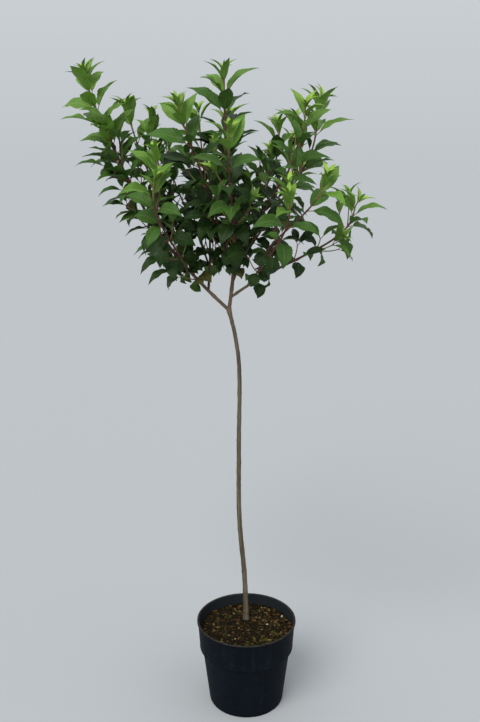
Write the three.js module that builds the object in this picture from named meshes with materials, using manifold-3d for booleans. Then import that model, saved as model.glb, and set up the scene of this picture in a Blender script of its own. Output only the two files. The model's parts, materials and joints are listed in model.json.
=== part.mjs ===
// Potted panicle hydrangea, trained as a small tree on one clear stem.
// Millimetres. The origin is the middle of the pot's flat underside. Seen from the front,
// X runs to the right, Y to the back and Z up.

import * as THREE from 'three';
import { mergeVertices } from 'three/addons/utils/BufferGeometryUtils.js';
import Module from 'manifold-3d';

const wasm = await Module();
wasm.setup();

// Gap between pieces that stand on or grow out of each other
const seam = 0.3;

// Pot: a straight taper up to a shoulder, then a wider collar band that ends in a lip
const potHeight = 231;
const footRadius = 99;
const footBevel = 3;
const shoulderRadius = 117;
const shoulderHeight = 150;
const shoulderRise = 3;
const collarRadius = 124;
const collarTopRadius = 129;
const lipRadius = 131.5;
const lipDepth = 5;
const potWall = 2.6;
const potFloor = 3;
const potSides = 36;
const drainHoles = 8;
const drainHoleRadius = 6;
const drainRingRadius = 72;
const drainHoleSides = 10;

// Growing medium, with a low mound where the trunk comes out
const soilTop = 203;
const soilRise = 3;
const moundTopRadius = 17;
const moundFootRadius = 58;
const moundSides = 18;

// Trunk: where it leans and bends on its way from the soil to the fork
const trunkFoot = new THREE.Vector3(0, 38, 208);
const trunkBends = [
  trunkFoot,
  new THREE.Vector3(-5, 34, 340),
  new THREE.Vector3(-18.5, 28, 505),
  new THREE.Vector3(-20, 24, 700),
  new THREE.Vector3(-19.5, 20, 925),
  new THREE.Vector3(-30, 20, 1004),
  new THREE.Vector3(-44, 20, 1063),
];
const trunkFootRadius = 6.8;
const trunkTopRadius = 4.7;
const flareRadius = 2.5;
const flareLength = 13;
const knuckleRadius = 1.6;
const knuckleLength = 14;
const trunkSides = 10;
const trunkRings = 18;

// Shoots, each a bough that runs on as the stem of its mass of leaves. A shoot leaves its
// parent at the share "at" of the parent's run and ends at right, back and top. Bow sets how
// early it goes outwards, sway and curl bend it sideways, and bare is the share with no leaves.
const shoots = [
  { name: 'leader', parent: 'trunk', at: 1, right: -54, back: 40, top: 1612,
    bow: 0.7, sway: 10, curl: 8, bare: 0.229, girth: 4.7, turn: 0.2, whorl: 3 },
  { name: 'left_outer', parent: 'trunk', at: 1, right: -372, back: 20, top: 1606,
    bow: 1.86, sway: 22, curl: -8, bare: 0.219, girth: 4.3, turn: 1.4, whorl: 3 },
  { name: 'left_middle', parent: 'left_outer', at: 0.151, right: -292, back: 125, top: 1540,
    bow: 1.3, sway: 5, curl: 0, bare: 0.16, girth: 3, turn: 1.2 },
  { name: 'left_inner', parent: 'left_outer', at: 0.088, right: -118, back: 140, top: 1530,
    bow: 1.5, sway: 12, curl: 3, bare: 0.2, girth: 3, turn: 0.7 },
  { name: 'right_low', parent: 'leader', at: 0.058, right: 262, back: 30, top: 1318,
    bow: 0.9, sway: 59, curl: -22, bare: 0.24, girth: 3.5, turn: 1 },
  { name: 'right_middle', parent: 'right_low', at: 0.2, right: 170, back: -125, top: 1375,
    bow: 1.2, sway: -25, curl: -14, bare: 0.12, girth: 2.8, turn: 0.4 },
  { name: 'right_high', parent: 'leader', at: 0.121, right: 174, back: 75, top: 1556,
    bow: 0.8, sway: 42, curl: -22, bare: 0.3, girth: 3.3, turn: 1.1, whorl: 3 },
  { name: 'right_second', parent: 'right_high', at: 0.26, right: 126, back: -85, top: 1525,
    bow: 1, sway: 14, curl: -10, bare: 0.12, girth: 2.7, turn: 0.1 },
  { name: 'centre_left', parent: 'leader', at: 0.151, right: -152, back: -90, top: 1530,
    bow: 1.15, sway: 12, curl: 0, bare: 0.16, girth: 2.9, turn: 0.9, whorl: 3 },
  { name: 'right_inner', parent: 'leader', at: 0.175, right: 78, back: 118, top: 1496,
    bow: 1.7, sway: -12, curl: -10, bare: 0.16, girth: 2.8, turn: 1.3 },
  { name: 'centre_front', parent: 'leader', at: 0.195, right: -40, back: -170, top: 1470,
    bow: 1.45, sway: 3, curl: 4, bare: 0.14, girth: 2.8, turn: 0.8 },
  { name: 'back_left', parent: 'left_inner', at: 0.13, right: -205, back: 205, top: 1452,
    bow: 1.5, sway: 8, curl: 4, bare: 0.14, girth: 2.7, turn: 0.3 },
  { name: 'back_middle', parent: 'leader', at: 0.209, right: -50, back: 210, top: 1524,
    bow: 1.5, sway: -8, curl: 5, bare: 0.14, girth: 2.8, turn: 0.5 },
  { name: 'back_right', parent: 'right_high', at: 0.14, right: 118, back: 200, top: 1430,
    bow: 1.5, sway: 8, curl: -5, bare: 0.14, girth: 2.7, turn: 1.2 },
  { name: 'front_left', parent: 'left_outer', at: 0.19, right: -200, back: -175, top: 1372,
    bow: 1.5, sway: -8, curl: 4, bare: 0.14, girth: 2.7, turn: 0.6 },
  { name: 'front_right', parent: 'right_low', at: 0.12, right: 88, back: -190, top: 1335,
    bow: 1.5, sway: 6, curl: -4, bare: 0.2, girth: 2.7, turn: 1.1 },
];
const usualWhorl = 2;
const shootTipRadius = 2;
const shootTaper = 0.9;
const boughSides = 6;
const boughSpacing = 28;
const stemSides = 3;
const stemSpacing = 45;
const chords = 48;
const slopeStep = 0.01;

// Leaves in pairs or whorls: spacing, size, and the angles in radians at which they leave the
// stem, arch over and fold along the rib, from the growing tip down to the old wood. Low in
// the crown they are in shade, and there they are shorter and broader and hang.
const youngStretch = 75;
const tipGap = 22;
const oldGap = 48;
const leafLength = 106;
const youngShrink = 0.55;
const leafWidthShare = 0.4;
const leafThickness = 1.4;
const stalkShare = 0.15;
const stalkWidth = 0.8;
const outlineEase = 0.75;
const leafStations = [0, 0.4, 0.72, 1];
const leafFold = 0.5;
const lightward = new THREE.Vector3(0, -0.5, 0.9);
const oldSpread = 0.58;
const youngSpread = 0.36;
const oldDroop = 0.76;
const youngDroop = 0.3;
const shadeTop = 1500;
const shadeDepth = 300;
const shadeStretch = 150;
const shadeSpread = 0.5;
const shadeDroop = 1.5;
const shadeShrink = 0.35;
const shadeWidthShare = 0.56;
const turnScatter = 0.25;
const spreadScatter = 0.15;
const droopScatter = 0.25;
const lengthScatter = 0.12;
const whorlScatter = 0.3;

// Side twigs between the leaves of the older whorls, below the height twigTop
const twigShare = 0.8;
const twigShortest = 45;
const twigLongest = 120;
const twigSpread = 0.8;
const twigCurl = -0.55;
const twigRadius = 2.2;
const twigTipRadius = 1.8;
const twigRings = 3;
const twigFreeStretch = 90;
const twigTop = 1420;
const twigBare = 0.25;
const twigFreeChords = 12;

// What a leaf or twig keeps free of, beyond the middle between two stems
const spaceMargin = 5;
const limbMargin = 6;
const leafMargin = 6;
const massReach = 150;
const otherTurns = [0, 0.6, -0.6, 1.2, -1.2];
const otherSizes = [1, 0.78, 0.6];
const sampleShares = [0.22, 0.35, 0.5, 0.65, 0.8];
const sampleSides = [-1, -0.5, 0, 0.5, 1];

// Finishes
const finishes = {
  pot: new THREE.MeshStandardMaterial({ color: 0x1a2126, roughness: 0.5, metalness: 0 }),
  soil: new THREE.MeshStandardMaterial({ color: 0x4a3a28, roughness: 0.95, metalness: 0 }),
  bark: new THREE.MeshStandardMaterial({ color: 0x6f6650, roughness: 0.85, metalness: 0 }),
  shoot: new THREE.MeshStandardMaterial({ color: 0x5a3a30, roughness: 0.8, metalness: 0 }),
  leaf: new THREE.MeshStandardMaterial({ color: 0x2f5e24, roughness: 0.6, metalness: 0 }),
};

const up = new THREE.Vector3(0, 0, 1);

// A repeatable row of numbers between 0 and 1, by a linear congruential rule
const randomFactor = 1664525;
const randomStep = 1013904223;
const randomRange = 2 ** 32;

function seededRandom(seed) {
  let state = seed;
  return () => {
    state = (Math.imul(state, randomFactor) + randomStep) >>> 0;
    return state / randomRange;
  };
}

function mix(from, to, share) {
  return from + (to - from) * share;
}

function scatter(random, width) {
  return mix(-width, width, random());
}

// Solids from three.js geometry and back
const weldDistance = 1e-4;

function solidOf(geometry) {
  geometry.deleteAttribute('normal');
  geometry.deleteAttribute('uv');
  const welded = mergeVertices(geometry, weldDistance);
  return new wasm.Manifold(new wasm.Mesh({
    numProp: 3,
    vertProperties: new Float32Array(welded.attributes.position.array),
    triVerts: new Uint32Array(welded.index.array),
  }));
}

function geometryOf(solid) {
  const mesh = solid.getMesh();
  const geometry = new THREE.BufferGeometry();
  geometry.setAttribute('position', new THREE.BufferAttribute(mesh.vertProperties, 3));
  geometry.setIndex(new THREE.BufferAttribute(mesh.triVerts, 1));
  geometry.computeVertexNormals();
  return geometry;
}

// The main piece of a solid, without loose scraps or sealed hollows
function mainPiece(solid) {
  const pieces = solid.decompose();
  pieces.sort((a, b) => b.volume() - a.volume());
  return pieces[0];
}

function join(solids) {
  return mainPiece(solids.reduce((whole, solid) => whole.add(solid)));
}

// Moves each vertex of an upright unit cylinder or cone: place gets its share of the height
// and the two parts of its direction from the middle
function bend(geometry, place) {
  const position = geometry.attributes.position;
  for (let i = 0; i < position.count; i += 1) {
    const x = position.getX(i);
    const z = position.getZ(i);
    const radius = Math.hypot(x, z) || 1;
    const moved = place(position.getY(i) + 0.5, x / radius, z / radius);
    position.setXYZ(i, moved.x, moved.y, moved.z);
  }
  return geometry;
}

// A line of growth: its point, direction and two crosswise directions at a share of its run
class Line {
  constructor(point, heading) {
    this.point = point;
    this.flat = new THREE.Vector3(-Math.sin(heading), Math.cos(heading), 0);
    this.chain = [];
    this.length = 0;
    for (let i = 0; i <= chords; i += 1) {
      this.chain.push(point(i / chords));
      this.length += i ? this.chain[i].distanceTo(this.chain[i - 1]) : 0;
    }
  }

  frame(share) {
    const before = this.point(Math.max(0, share - slopeStep));
    const after = this.point(Math.min(1, share + slopeStep));
    const along = after.sub(before).normalize();
    const lift = along.clone().cross(this.flat).normalize();
    return { along, lift, side: lift.clone().cross(along) };
  }
}

function ringPoint(line, share, radius, a, b) {
  const { lift, side } = line.frame(share);
  return line.point(share).addScaledVector(side, a * radius).addScaledVector(lift, -b * radius);
}

// A tapering limb along a line, from one share of its run to another
function limbSolid(line, from, to, radiusAt, sides, rings) {
  const tube = new THREE.CylinderGeometry(1, 1, 1, sides, rings);
  return solidOf(bend(tube, (share, a, b) => {
    const at = mix(from, to, share);
    return ringPoint(line, at, radiusAt(at), a, b);
  }));
}

// A line that leaves a point in one direction and turns evenly towards or away from "above"
function arcPoint(root, along, above, length, turn, share) {
  const angle = turn * share;
  return root.clone()
    .addScaledVector(along, length * Math.sin(angle) / turn)
    .addScaledVector(above, -length * (1 - Math.cos(angle)) / turn);
}

// Trunk
function trunkLine() {
  const curve = new THREE.CatmullRomCurve3(trunkBends);
  return new Line((share) => curve.getPointAt(share), 0);
}

function trunkRadius(line, share) {
  const height = share * line.length;
  const down = line.length - height;
  return mix(trunkFootRadius, trunkTopRadius, share)
    + flareRadius * Math.exp(-height / flareLength)
    + knuckleRadius * Math.exp(-((down / knuckleLength) ** 2));
}

// The foot is cut level, and extra makes the trunk thicker and longer at its top
function makeTrunk(line, extra) {
  const tube = new THREE.CylinderGeometry(1, 1, 1, trunkSides, trunkRings);
  return solidOf(bend(tube, (share, a, b) => {
    const rim = ringPoint(line, share, trunkRadius(line, share) + extra, a, b);
    if (share === 0) {
      rim.z = trunkFoot.z;
    }
    if (share === 1) {
      rim.z += extra;
    }
    return rim;
  }));
}

// Shoot lines and limbs
function shootLine(shoot, base) {
  const { right, back, top, bow, sway, curl } = shoot;
  const point = (share) => {
    const out = 1 - Math.max(0, 1 - share) ** bow;
    const bends = sway * Math.sin(Math.PI * share) + curl * Math.sin(2 * Math.PI * share);
    return new THREE.Vector3(
      mix(base.x, right, out) + bends,
      mix(base.y, back, out),
      mix(base.z, top, share),
    );
  };
  return new Line(point, Math.atan2(back - base.y, right - base.x));
}

function shootRadius(shoot, share) {
  return mix(shootTipRadius, shoot.girth, Math.max(0, 1 - share) ** shootTaper);
}

// Room that each mass keeps to
function nearest(point, chain) {
  return Math.min(...chain.map((other) => point.distanceTo(other)));
}

function ownSpace(points, mass, limbs, masses) {
  return points.every((point) => {
    const own = nearest(point, mass.chain);
    return own < massReach
      && masses.every((other) => other === mass || nearest(point, other.chain) > own + spaceMargin)
      && limbs.every((limb) => nearest(point, limb.chain) > limb.radius + limbMargin);
  });
}

// Leaves: a folded blade that narrows to its stalk and arches over to its tip
function leafHalfWidth(leaf, share) {
  const blade = Math.max(0, (share - stalkShare) / (1 - stalkShare));
  return stalkWidth + leaf.width * Math.sin(Math.PI * blade ** outlineEase);
}

function leafPoint(leaf, share, across, over) {
  const angle = leaf.droop * share;
  const above = leaf.along.clone().multiplyScalar(Math.sin(angle))
    .addScaledVector(leaf.above, Math.cos(angle));
  const half = leafHalfWidth(leaf, share);
  return arcPoint(leaf.root, leaf.along, leaf.above, leaf.length, leaf.droop, share)
    .addScaledVector(leaf.across, across * half * Math.cos(leafFold))
    .addScaledVector(above, Math.abs(across) * half * Math.sin(leafFold) + over);
}

function leafSolid(leaf) {
  const last = leafStations.length - 1;
  const cone = new THREE.ConeGeometry(1, 1, 4, last);
  return solidOf(bend(cone, (share, across, over) => (
    leafPoint(leaf, leafStations[Math.round(share * last)], across, over * leafThickness / 2)
  )));
}

function leafSamples(leaf) {
  const samples = [leafPoint(leaf, 1, 0, 0)];
  for (const share of sampleShares) {
    for (const across of sampleSides) {
      samples.push(leafPoint(leaf, share, across, 0));
    }
  }
  return samples;
}

function makeLeaf(wanted, turn, size) {
  const { frame, root, spread, droop, shade } = wanted;
  const out = frame.side.clone().multiplyScalar(Math.cos(turn))
    .addScaledVector(frame.lift, Math.sin(turn));
  const along = frame.along.clone().multiplyScalar(Math.cos(spread))
    .addScaledVector(out, Math.sin(spread));
  const above = frame.along.clone().multiplyScalar(Math.sin(spread))
    .addScaledVector(out, -Math.cos(spread))
    .add(lightward);
  above.addScaledVector(along, -above.dot(along)).normalize();
  const across = along.clone().cross(above);
  const length = wanted.length * size;
  const width = length * mix(leafWidthShare, shadeWidthShare, shade) / 2;
  return { root, along, above, across, droop, length, width };
}

// Whether points keep clear of the leaves and twigs that a mass has so far
function clearOfOwn(points, place) {
  const clear = (others, start) => points.every((point) => (
    nearest(point, others.slice(start)) > leafMargin
  ));
  return place.leaves.every((leaf) => clear(leaf.samples, 0))
    && place.twigs.every((twig) => clear(twig.chain, twigFreeChords));
}

// The first of a few turns and sizes at which the leaf keeps to its mass's space and clear of
// the leaves that are there
function fitLeaf(place, wanted) {
  for (const size of otherSizes) {
    for (const turn of otherTurns) {
      const leaf = makeLeaf(wanted, wanted.turn + turn, size);
      leaf.samples = leafSamples(leaf);
      if (place.fits(leaf.samples) && clearOfOwn(leaf.samples, place)) {
        return leaf;
      }
    }
  }
  return null;
}

// Shade of a leaf, 0 in the light and 1 at the foot of the crown, and less near a tip
function shadeAt(root, down) {
  const depth = Math.min(1, Math.max(0, (shadeTop - root.z) / shadeDepth));
  return depth ** 3 * Math.min(1, down / shadeStretch);
}

// Pairs or whorls of leaves down a line from its tip, each between those of the one before
function growWhorls(place, line, from, firstTurn, count, growTwig) {
  let turn = firstTurn;
  let down = 0;
  while (down < line.length * (1 - from) - tipGap) {
    const share = 1 - down / line.length;
    const frame = line.frame(share);
    const root = line.point(share);
    const age = Math.min(1, down / youngStretch);
    const shade = shadeAt(root, down);
    for (let i = 0; i < count; i += 1) {
      const wanted = {
        frame,
        root,
        shade,
        turn: turn + 2 * Math.PI * i / count + scatter(place.random, turnScatter),
        spread: (mix(youngSpread, oldSpread, age) + shadeSpread * shade)
          * (1 + scatter(place.random, spreadScatter)),
        droop: (mix(youngDroop, oldDroop, age) + shadeDroop * shade)
          * (1 + scatter(place.random, droopScatter)),
        length: leafLength * (1 - youngShrink * (1 - age) ** 2) * (1 - shadeShrink * shade)
          * (1 + scatter(place.random, lengthScatter)),
      };
      const leaf = fitLeaf(place, wanted);
      if (leaf) {
        place.leaves.push(leaf);
      }
    }
    growTwig(frame, root, turn + Math.PI / count, down);
    turn += Math.PI / count + scatter(place.random, whorlScatter);
    down += mix(tipGap, oldGap, age);
  }
}

// A side twig between the leaves of a whorl, with a few pairs of its own
function growSideTwig(place, frame, root, turn, down) {
  const wish = place.random();
  const length = mix(twigShortest, twigLongest, place.random());
  if (down < twigFreeStretch || root.z > twigTop || wish > twigShare) {
    return;
  }
  const out = frame.side.clone().multiplyScalar(Math.cos(turn))
    .addScaledVector(frame.lift, Math.sin(turn));
  const along = frame.along.clone().multiplyScalar(Math.cos(twigSpread))
    .addScaledVector(out, Math.sin(twigSpread));
  const above = up.clone().addScaledVector(along, -up.dot(along)).normalize();
  const point = (share) => arcPoint(root, along, above, length, twigCurl, share);
  const line = new Line(point, Math.atan2(along.y, along.x));
  const samples = line.chain.slice(twigFreeChords);
  if (!place.fits(samples) || !clearOfOwn(samples, place)) {
    return;
  }
  growWhorls(place, line, twigBare, turn, usualWhorl, () => {});
  place.twigs.push(line);
}

function growMass(shoot, line, seed, fits) {
  const place = { random: seededRandom(seed), leaves: [], twigs: [], fits };
  const count = shoot.whorl ?? usualWhorl;
  growWhorls(place, line, shoot.bare, shoot.turn, count, (frame, root, turn, down) => (
    growSideTwig(place, frame, root, turn, down)
  ));
  return place;
}

function massSolid(shoot, line, place) {
  const start = shoot.bare + seam / line.length;
  const rings = Math.round(line.length * (1 - start) / stemSpacing);
  const stem = limbSolid(line, start, 1, (at) => shootRadius(shoot, at), stemSides, rings);
  const twigRadiusAt = (at) => mix(twigRadius, twigTipRadius, at);
  const twigs = place.twigs.map((twig) => (
    limbSolid(twig, 0, 1, twigRadiusAt, stemSides, twigRings)
  ));
  return join([stem, ...twigs, ...place.leaves.map(leafSolid)]);
}

// Pot
function potOutside() {
  return [
    [footRadius - footBevel / 2, 0],
    [footRadius, footBevel],
    [shoulderRadius, shoulderHeight],
    [collarRadius, shoulderHeight + shoulderRise],
    [collarTopRadius, potHeight - lipDepth],
    [lipRadius, potHeight - lipDepth],
    [lipRadius, potHeight],
  ];
}

function potInside(gap) {
  return [
    [collarTopRadius - potWall - gap, potHeight],
    [collarRadius - potWall - gap, shoulderHeight + shoulderRise + potWall],
    [shoulderRadius - potWall - gap, shoulderHeight + potWall],
    [footRadius - potWall - gap, potFloor + gap],
  ];
}

function lathe(profile, sides) {
  const points = profile.map(([radius, height]) => new THREE.Vector2(radius, height));
  return new THREE.LatheGeometry(points, sides).rotateX(Math.PI / 2);
}

function upright(radiusTop, radiusBottom, height, sides) {
  return new THREE.CylinderGeometry(radiusTop, radiusBottom, height, sides).rotateX(Math.PI / 2);
}

function makePot() {
  const profile = [[0, 0], ...potOutside(), ...potInside(0), [0, potFloor]];
  let pot = solidOf(lathe(profile, potSides));
  for (let i = 0; i < drainHoles; i += 1) {
    const angle = 2 * Math.PI * (i + 0.5) / drainHoles;
    const hole = upright(drainHoleRadius, drainHoleRadius, 4 * potFloor, drainHoleSides)
      .translate(drainRingRadius * Math.cos(angle), drainRingRadius * Math.sin(angle), 0);
    pot = pot.subtract(solidOf(hole));
  }
  return pot;
}

// Growing medium up to its top, and the mound that the trunk stands on
function makeSoil() {
  const [rim, collarFoot, shoulder, foot] = potInside(seam);
  const climb = (soilTop - collarFoot[1]) / (rim[1] - collarFoot[1]);
  const edge = [mix(collarFoot[0], rim[0], climb), soilTop];
  const profile = [[0, potFloor + seam], foot, shoulder, collarFoot, edge, [0, soilTop + soilRise]];
  const moundHeight = trunkFoot.z - seam - soilTop + soilRise;
  const mound = upright(moundTopRadius, moundFootRadius, moundHeight, moundSides)
    .translate(trunkFoot.x, trunkFoot.y, trunkFoot.z - seam - moundHeight / 2);
  return join([solidOf(lathe(profile, potSides)), solidOf(mound)]);
}

// The whole plant in its pot
const plant = new THREE.Group();

function addNode(name, solid, material) {
  const mesh = new THREE.Mesh(geometryOf(solid), material);
  mesh.name = name;
  plant.add(mesh);
}

function chainOf(line, from, to) {
  return line.chain.slice(Math.round(from * chords), Math.round(to * chords) + 1);
}

function buildPlant() {
  addNode('pot', makePot(), finishes.pot);
  addNode('soil', makeSoil(), finishes.soil);

  const trunk = trunkLine();
  addNode('trunk', makeTrunk(trunk, 0), finishes.bark);
  const lines = { trunk };
  const limbs = [{ chain: trunk.chain, radius: trunkFootRadius }];
  const masses = [];
  const grown = [makeTrunk(trunk, seam)];

  // Boughs, each cut clear of the limbs made before it
  for (const shoot of shoots) {
    const parent = lines[shoot.parent];
    const line = shootLine(shoot, parent.point(shoot.at));
    lines[shoot.name] = line;
    const rings = Math.ceil(line.length * shoot.bare / boughSpacing);
    const radiusAt = (at) => shootRadius(shoot, at);
    const whole = limbSolid(line, 0, shoot.bare, radiusAt, boughSides, rings);
    const cut = grown.reduce((rest, limb) => rest.subtract(limb), whole);
    addNode(`bough_${shoot.name}`, mainPiece(cut), finishes.shoot);
    grown.push(limbSolid(line, 0, shoot.bare, (at) => radiusAt(at) + seam, boughSides, rings));
    limbs.push({ chain: chainOf(line, 0, shoot.bare), radius: shoot.girth });
    masses.push({ shoot, line, chain: chainOf(line, shoot.bare, 1) });
  }

  // Masses of leaves, each in its own space
  masses.forEach((mass, i) => {
    const fits = (points) => ownSpace(points, mass, limbs, masses);
    const place = growMass(mass.shoot, mass.line, i + 1, fits);
    addNode(`leaves_${mass.shoot.name}`, massSolid(mass.shoot, mass.line, place), finishes.leaf);
  });
}

buildPlant();

export default plant;
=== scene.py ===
# The finished look of a potted panicle hydrangea, trained as a small tree on one clear stem.
# X runs to the right, Y to the back and Z up, from the middle of the pot's flat underside.
# Sizes are in millimetres up to the point where a mesh is made, which is in metres.

import functools
import itertools
import json
import math
from dataclasses import dataclass, field

import bmesh
import bpy
import numpy as np
from mathutils import Matrix, Vector, noise

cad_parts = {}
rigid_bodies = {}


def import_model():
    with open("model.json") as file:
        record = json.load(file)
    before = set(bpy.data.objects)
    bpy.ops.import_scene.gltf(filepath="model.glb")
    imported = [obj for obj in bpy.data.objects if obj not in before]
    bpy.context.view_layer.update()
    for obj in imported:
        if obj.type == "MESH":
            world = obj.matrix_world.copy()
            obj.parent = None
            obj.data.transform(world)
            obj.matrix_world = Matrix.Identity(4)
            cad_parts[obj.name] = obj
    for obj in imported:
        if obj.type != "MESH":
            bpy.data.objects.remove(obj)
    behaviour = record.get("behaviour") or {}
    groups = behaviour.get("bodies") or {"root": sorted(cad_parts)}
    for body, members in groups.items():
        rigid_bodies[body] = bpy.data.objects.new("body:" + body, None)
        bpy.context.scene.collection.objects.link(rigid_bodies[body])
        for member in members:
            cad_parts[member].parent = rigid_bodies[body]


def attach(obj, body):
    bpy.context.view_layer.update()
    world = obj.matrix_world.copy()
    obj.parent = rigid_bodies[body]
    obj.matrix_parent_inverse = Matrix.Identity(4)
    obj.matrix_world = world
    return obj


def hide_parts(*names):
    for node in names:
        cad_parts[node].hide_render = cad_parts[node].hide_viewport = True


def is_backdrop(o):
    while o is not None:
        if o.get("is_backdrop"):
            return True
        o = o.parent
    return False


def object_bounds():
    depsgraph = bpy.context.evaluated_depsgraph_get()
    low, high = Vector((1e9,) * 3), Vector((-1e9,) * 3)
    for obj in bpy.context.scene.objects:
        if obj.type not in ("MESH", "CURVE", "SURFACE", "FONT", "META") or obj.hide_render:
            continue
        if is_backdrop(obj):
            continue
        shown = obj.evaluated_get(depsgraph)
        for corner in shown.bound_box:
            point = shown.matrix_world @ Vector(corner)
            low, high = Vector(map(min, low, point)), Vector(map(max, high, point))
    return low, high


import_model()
cad_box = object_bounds()

MM = 0.001
UP = np.array([0.0, 0.0, 1.0])

# Camera: where it stands in metres, how far it looks down in degrees, and its lens, which is
# worked out from the picture's height
CAMERA_PLACE = (-0.017, -1.918, 1.404)
CAMERA_PITCH = 13.62
FOCAL_PIXELS = 800
PICTURE_HEIGHT = 722
SENSOR = 36

# Pot: a foot ring, a straight taper up to a shoulder, then a wider collar band that starts
# with a bead and ends in a lip
POT_HEIGHT = 231
FOOT_RADIUS = 99
FOOT_RING = 12
FOOT_SLOPE = 2
FOOT_BEVEL = 1
FOOT_BEVEL_RISE = 3
SHOULDER_RADIUS = 117
SHOULDER_HEIGHT = 150
SHOULDER_RISE = 3
COLLAR_RADIUS = 124
COLLAR_TOP_RADIUS = 129
BEAD = 0.9
BEAD_RISE = 7
BEAD_END = 0.3
BEAD_END_RISE = 9
LIP_RADIUS = 131.5
LIP_DEPTH = 5
LIP_SLOPE = 0.4
LIP_WEAR = (2.2, 0.3)
POT_WALL = 2.6
UNDERSIDE = 2.4
POT_FLOOR = 5
POT_CORNER = 1.4
POT_STEPS = 144
MERGE_DISTANCE = 0.02
DRAIN_HOLES = 8
DRAIN_HOLE_RADIUS = 6
DRAIN_RING_RADIUS = 72
DRILL_SIDES = 24
DRILL_LENGTH = 20

# Growing medium, with waves that each have a size, a seed and a height
SOIL_TOP = 203
SOIL_RISE = 3
SOIL_GAP = 0.3
SOIL_FOOT = 7
SOIL_STEPS = 120
SOIL_RINGS = 44
SOIL_WAVES = ((34, 1, 1.6), (9, 2, 1.1))
MOUND_HEIGHT = 2.6
MOUND_RADIUS = 46

# Trunk
TRUNK_BENDS = np.array([
    (0, 38, 208),
    (-5, 34, 340),
    (-18.5, 28, 505),
    (-20, 24, 700),
    (-19.5, 20, 925),
    (-30, 20, 1004),
    (-44, 20, 1063),
], float)
TRUNK_CURVE_STEPS = 60
TRUNK_FOOT_RADIUS = 6.8
TRUNK_TOP_RADIUS = 4.7
FLARE_RADIUS = 2.5
FLARE_LENGTH = 13
KNUCKLE_RADIUS = 1.6
KNUCKLE_LENGTH = 14


@dataclass
class Shoot:
    """A bough that runs on as the stem of its mass of leaves."""
    name: str
    parent: str
    at: float
    right: float
    back: float
    top: float
    bow: float
    sway: float
    curl: float
    bare: float
    girth: float
    turn: float
    whorl: int = 2
    fill: float = 1


# A shoot leaves its parent at the share "at" of the parent's run and ends at right, back and
# top. Bow sets how early it goes outwards, sway and curl bend it sideways, bare is the share
# with no leaves, and fill is how much of the finer growth it gets.
SHOOTS = [
    Shoot("leader", "trunk", at=1, right=-54, back=40, top=1612,
          bow=0.7, sway=10, curl=8, bare=0.229, girth=4.7, turn=0.2, whorl=3, fill=2),
    Shoot("left_outer", "trunk", at=1, right=-372, back=20, top=1606,
          bow=1.86, sway=22, curl=-8, bare=0.219, girth=4.3, turn=1.4, whorl=3, fill=2),
    Shoot("left_middle", "left_outer", at=0.151, right=-292, back=125, top=1540,
          bow=1.3, sway=5, curl=0, bare=0.16, girth=3, turn=1.2),
    Shoot("left_inner", "left_outer", at=0.088, right=-118, back=140, top=1530,
          bow=1.5, sway=12, curl=3, bare=0.2, girth=3, turn=0.7, fill=2),
    Shoot("right_low", "leader", at=0.058, right=262, back=30, top=1318,
          bow=0.9, sway=59, curl=-22, bare=0.24, girth=3.5, turn=1, fill=0.2),
    Shoot("right_middle", "right_low", at=0.2, right=170, back=-125, top=1375,
          bow=1.2, sway=-25, curl=-14, bare=0.12, girth=2.8, turn=0.4, fill=0.2),
    Shoot("right_high", "leader", at=0.121, right=174, back=75, top=1556,
          bow=0.8, sway=42, curl=-22, bare=0.3, girth=3.3, turn=1.1, whorl=3, fill=0.4),
    Shoot("right_second", "right_high", at=0.26, right=126, back=-85, top=1525,
          bow=1, sway=14, curl=-10, bare=0.12, girth=2.7, turn=0.1, fill=0.3),
    Shoot("centre_left", "leader", at=0.151, right=-152, back=-90, top=1530,
          bow=1.15, sway=12, curl=0, bare=0.16, girth=2.9, turn=0.9, whorl=3, fill=2),
    Shoot("right_inner", "leader", at=0.175, right=78, back=118, top=1496,
          bow=1.7, sway=-12, curl=-10, bare=0.16, girth=2.8, turn=1.3),
    Shoot("centre_front", "leader", at=0.195, right=-40, back=-170, top=1470,
          bow=1.45, sway=3, curl=4, bare=0.14, girth=2.8, turn=0.8),
    Shoot("back_left", "left_inner", at=0.13, right=-205, back=205, top=1452,
          bow=1.5, sway=8, curl=4, bare=0.14, girth=2.7, turn=0.3),
    Shoot("back_middle", "leader", at=0.209, right=-50, back=210, top=1524,
          bow=1.5, sway=-8, curl=5, bare=0.14, girth=2.8, turn=0.5, fill=2),
    Shoot("back_right", "right_high", at=0.14, right=118, back=200, top=1430,
          bow=1.5, sway=8, curl=-5, bare=0.14, girth=2.7, turn=1.2, fill=0.5),
    Shoot("front_left", "left_outer", at=0.19, right=-200, back=-175, top=1372,
          bow=1.5, sway=-8, curl=4, bare=0.14, girth=2.7, turn=0.6),
    Shoot("front_right", "right_low", at=0.12, right=88, back=-190, top=1335,
          bow=1.5, sway=6, curl=-4, bare=0.2, girth=2.7, turn=1.1, fill=0.3),
]
SHOOT_TIP_RADIUS = 1.6
SHOOT_TAPER = 0.9
CHORDS = 48
SLOPE_STEP = 0.01

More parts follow.
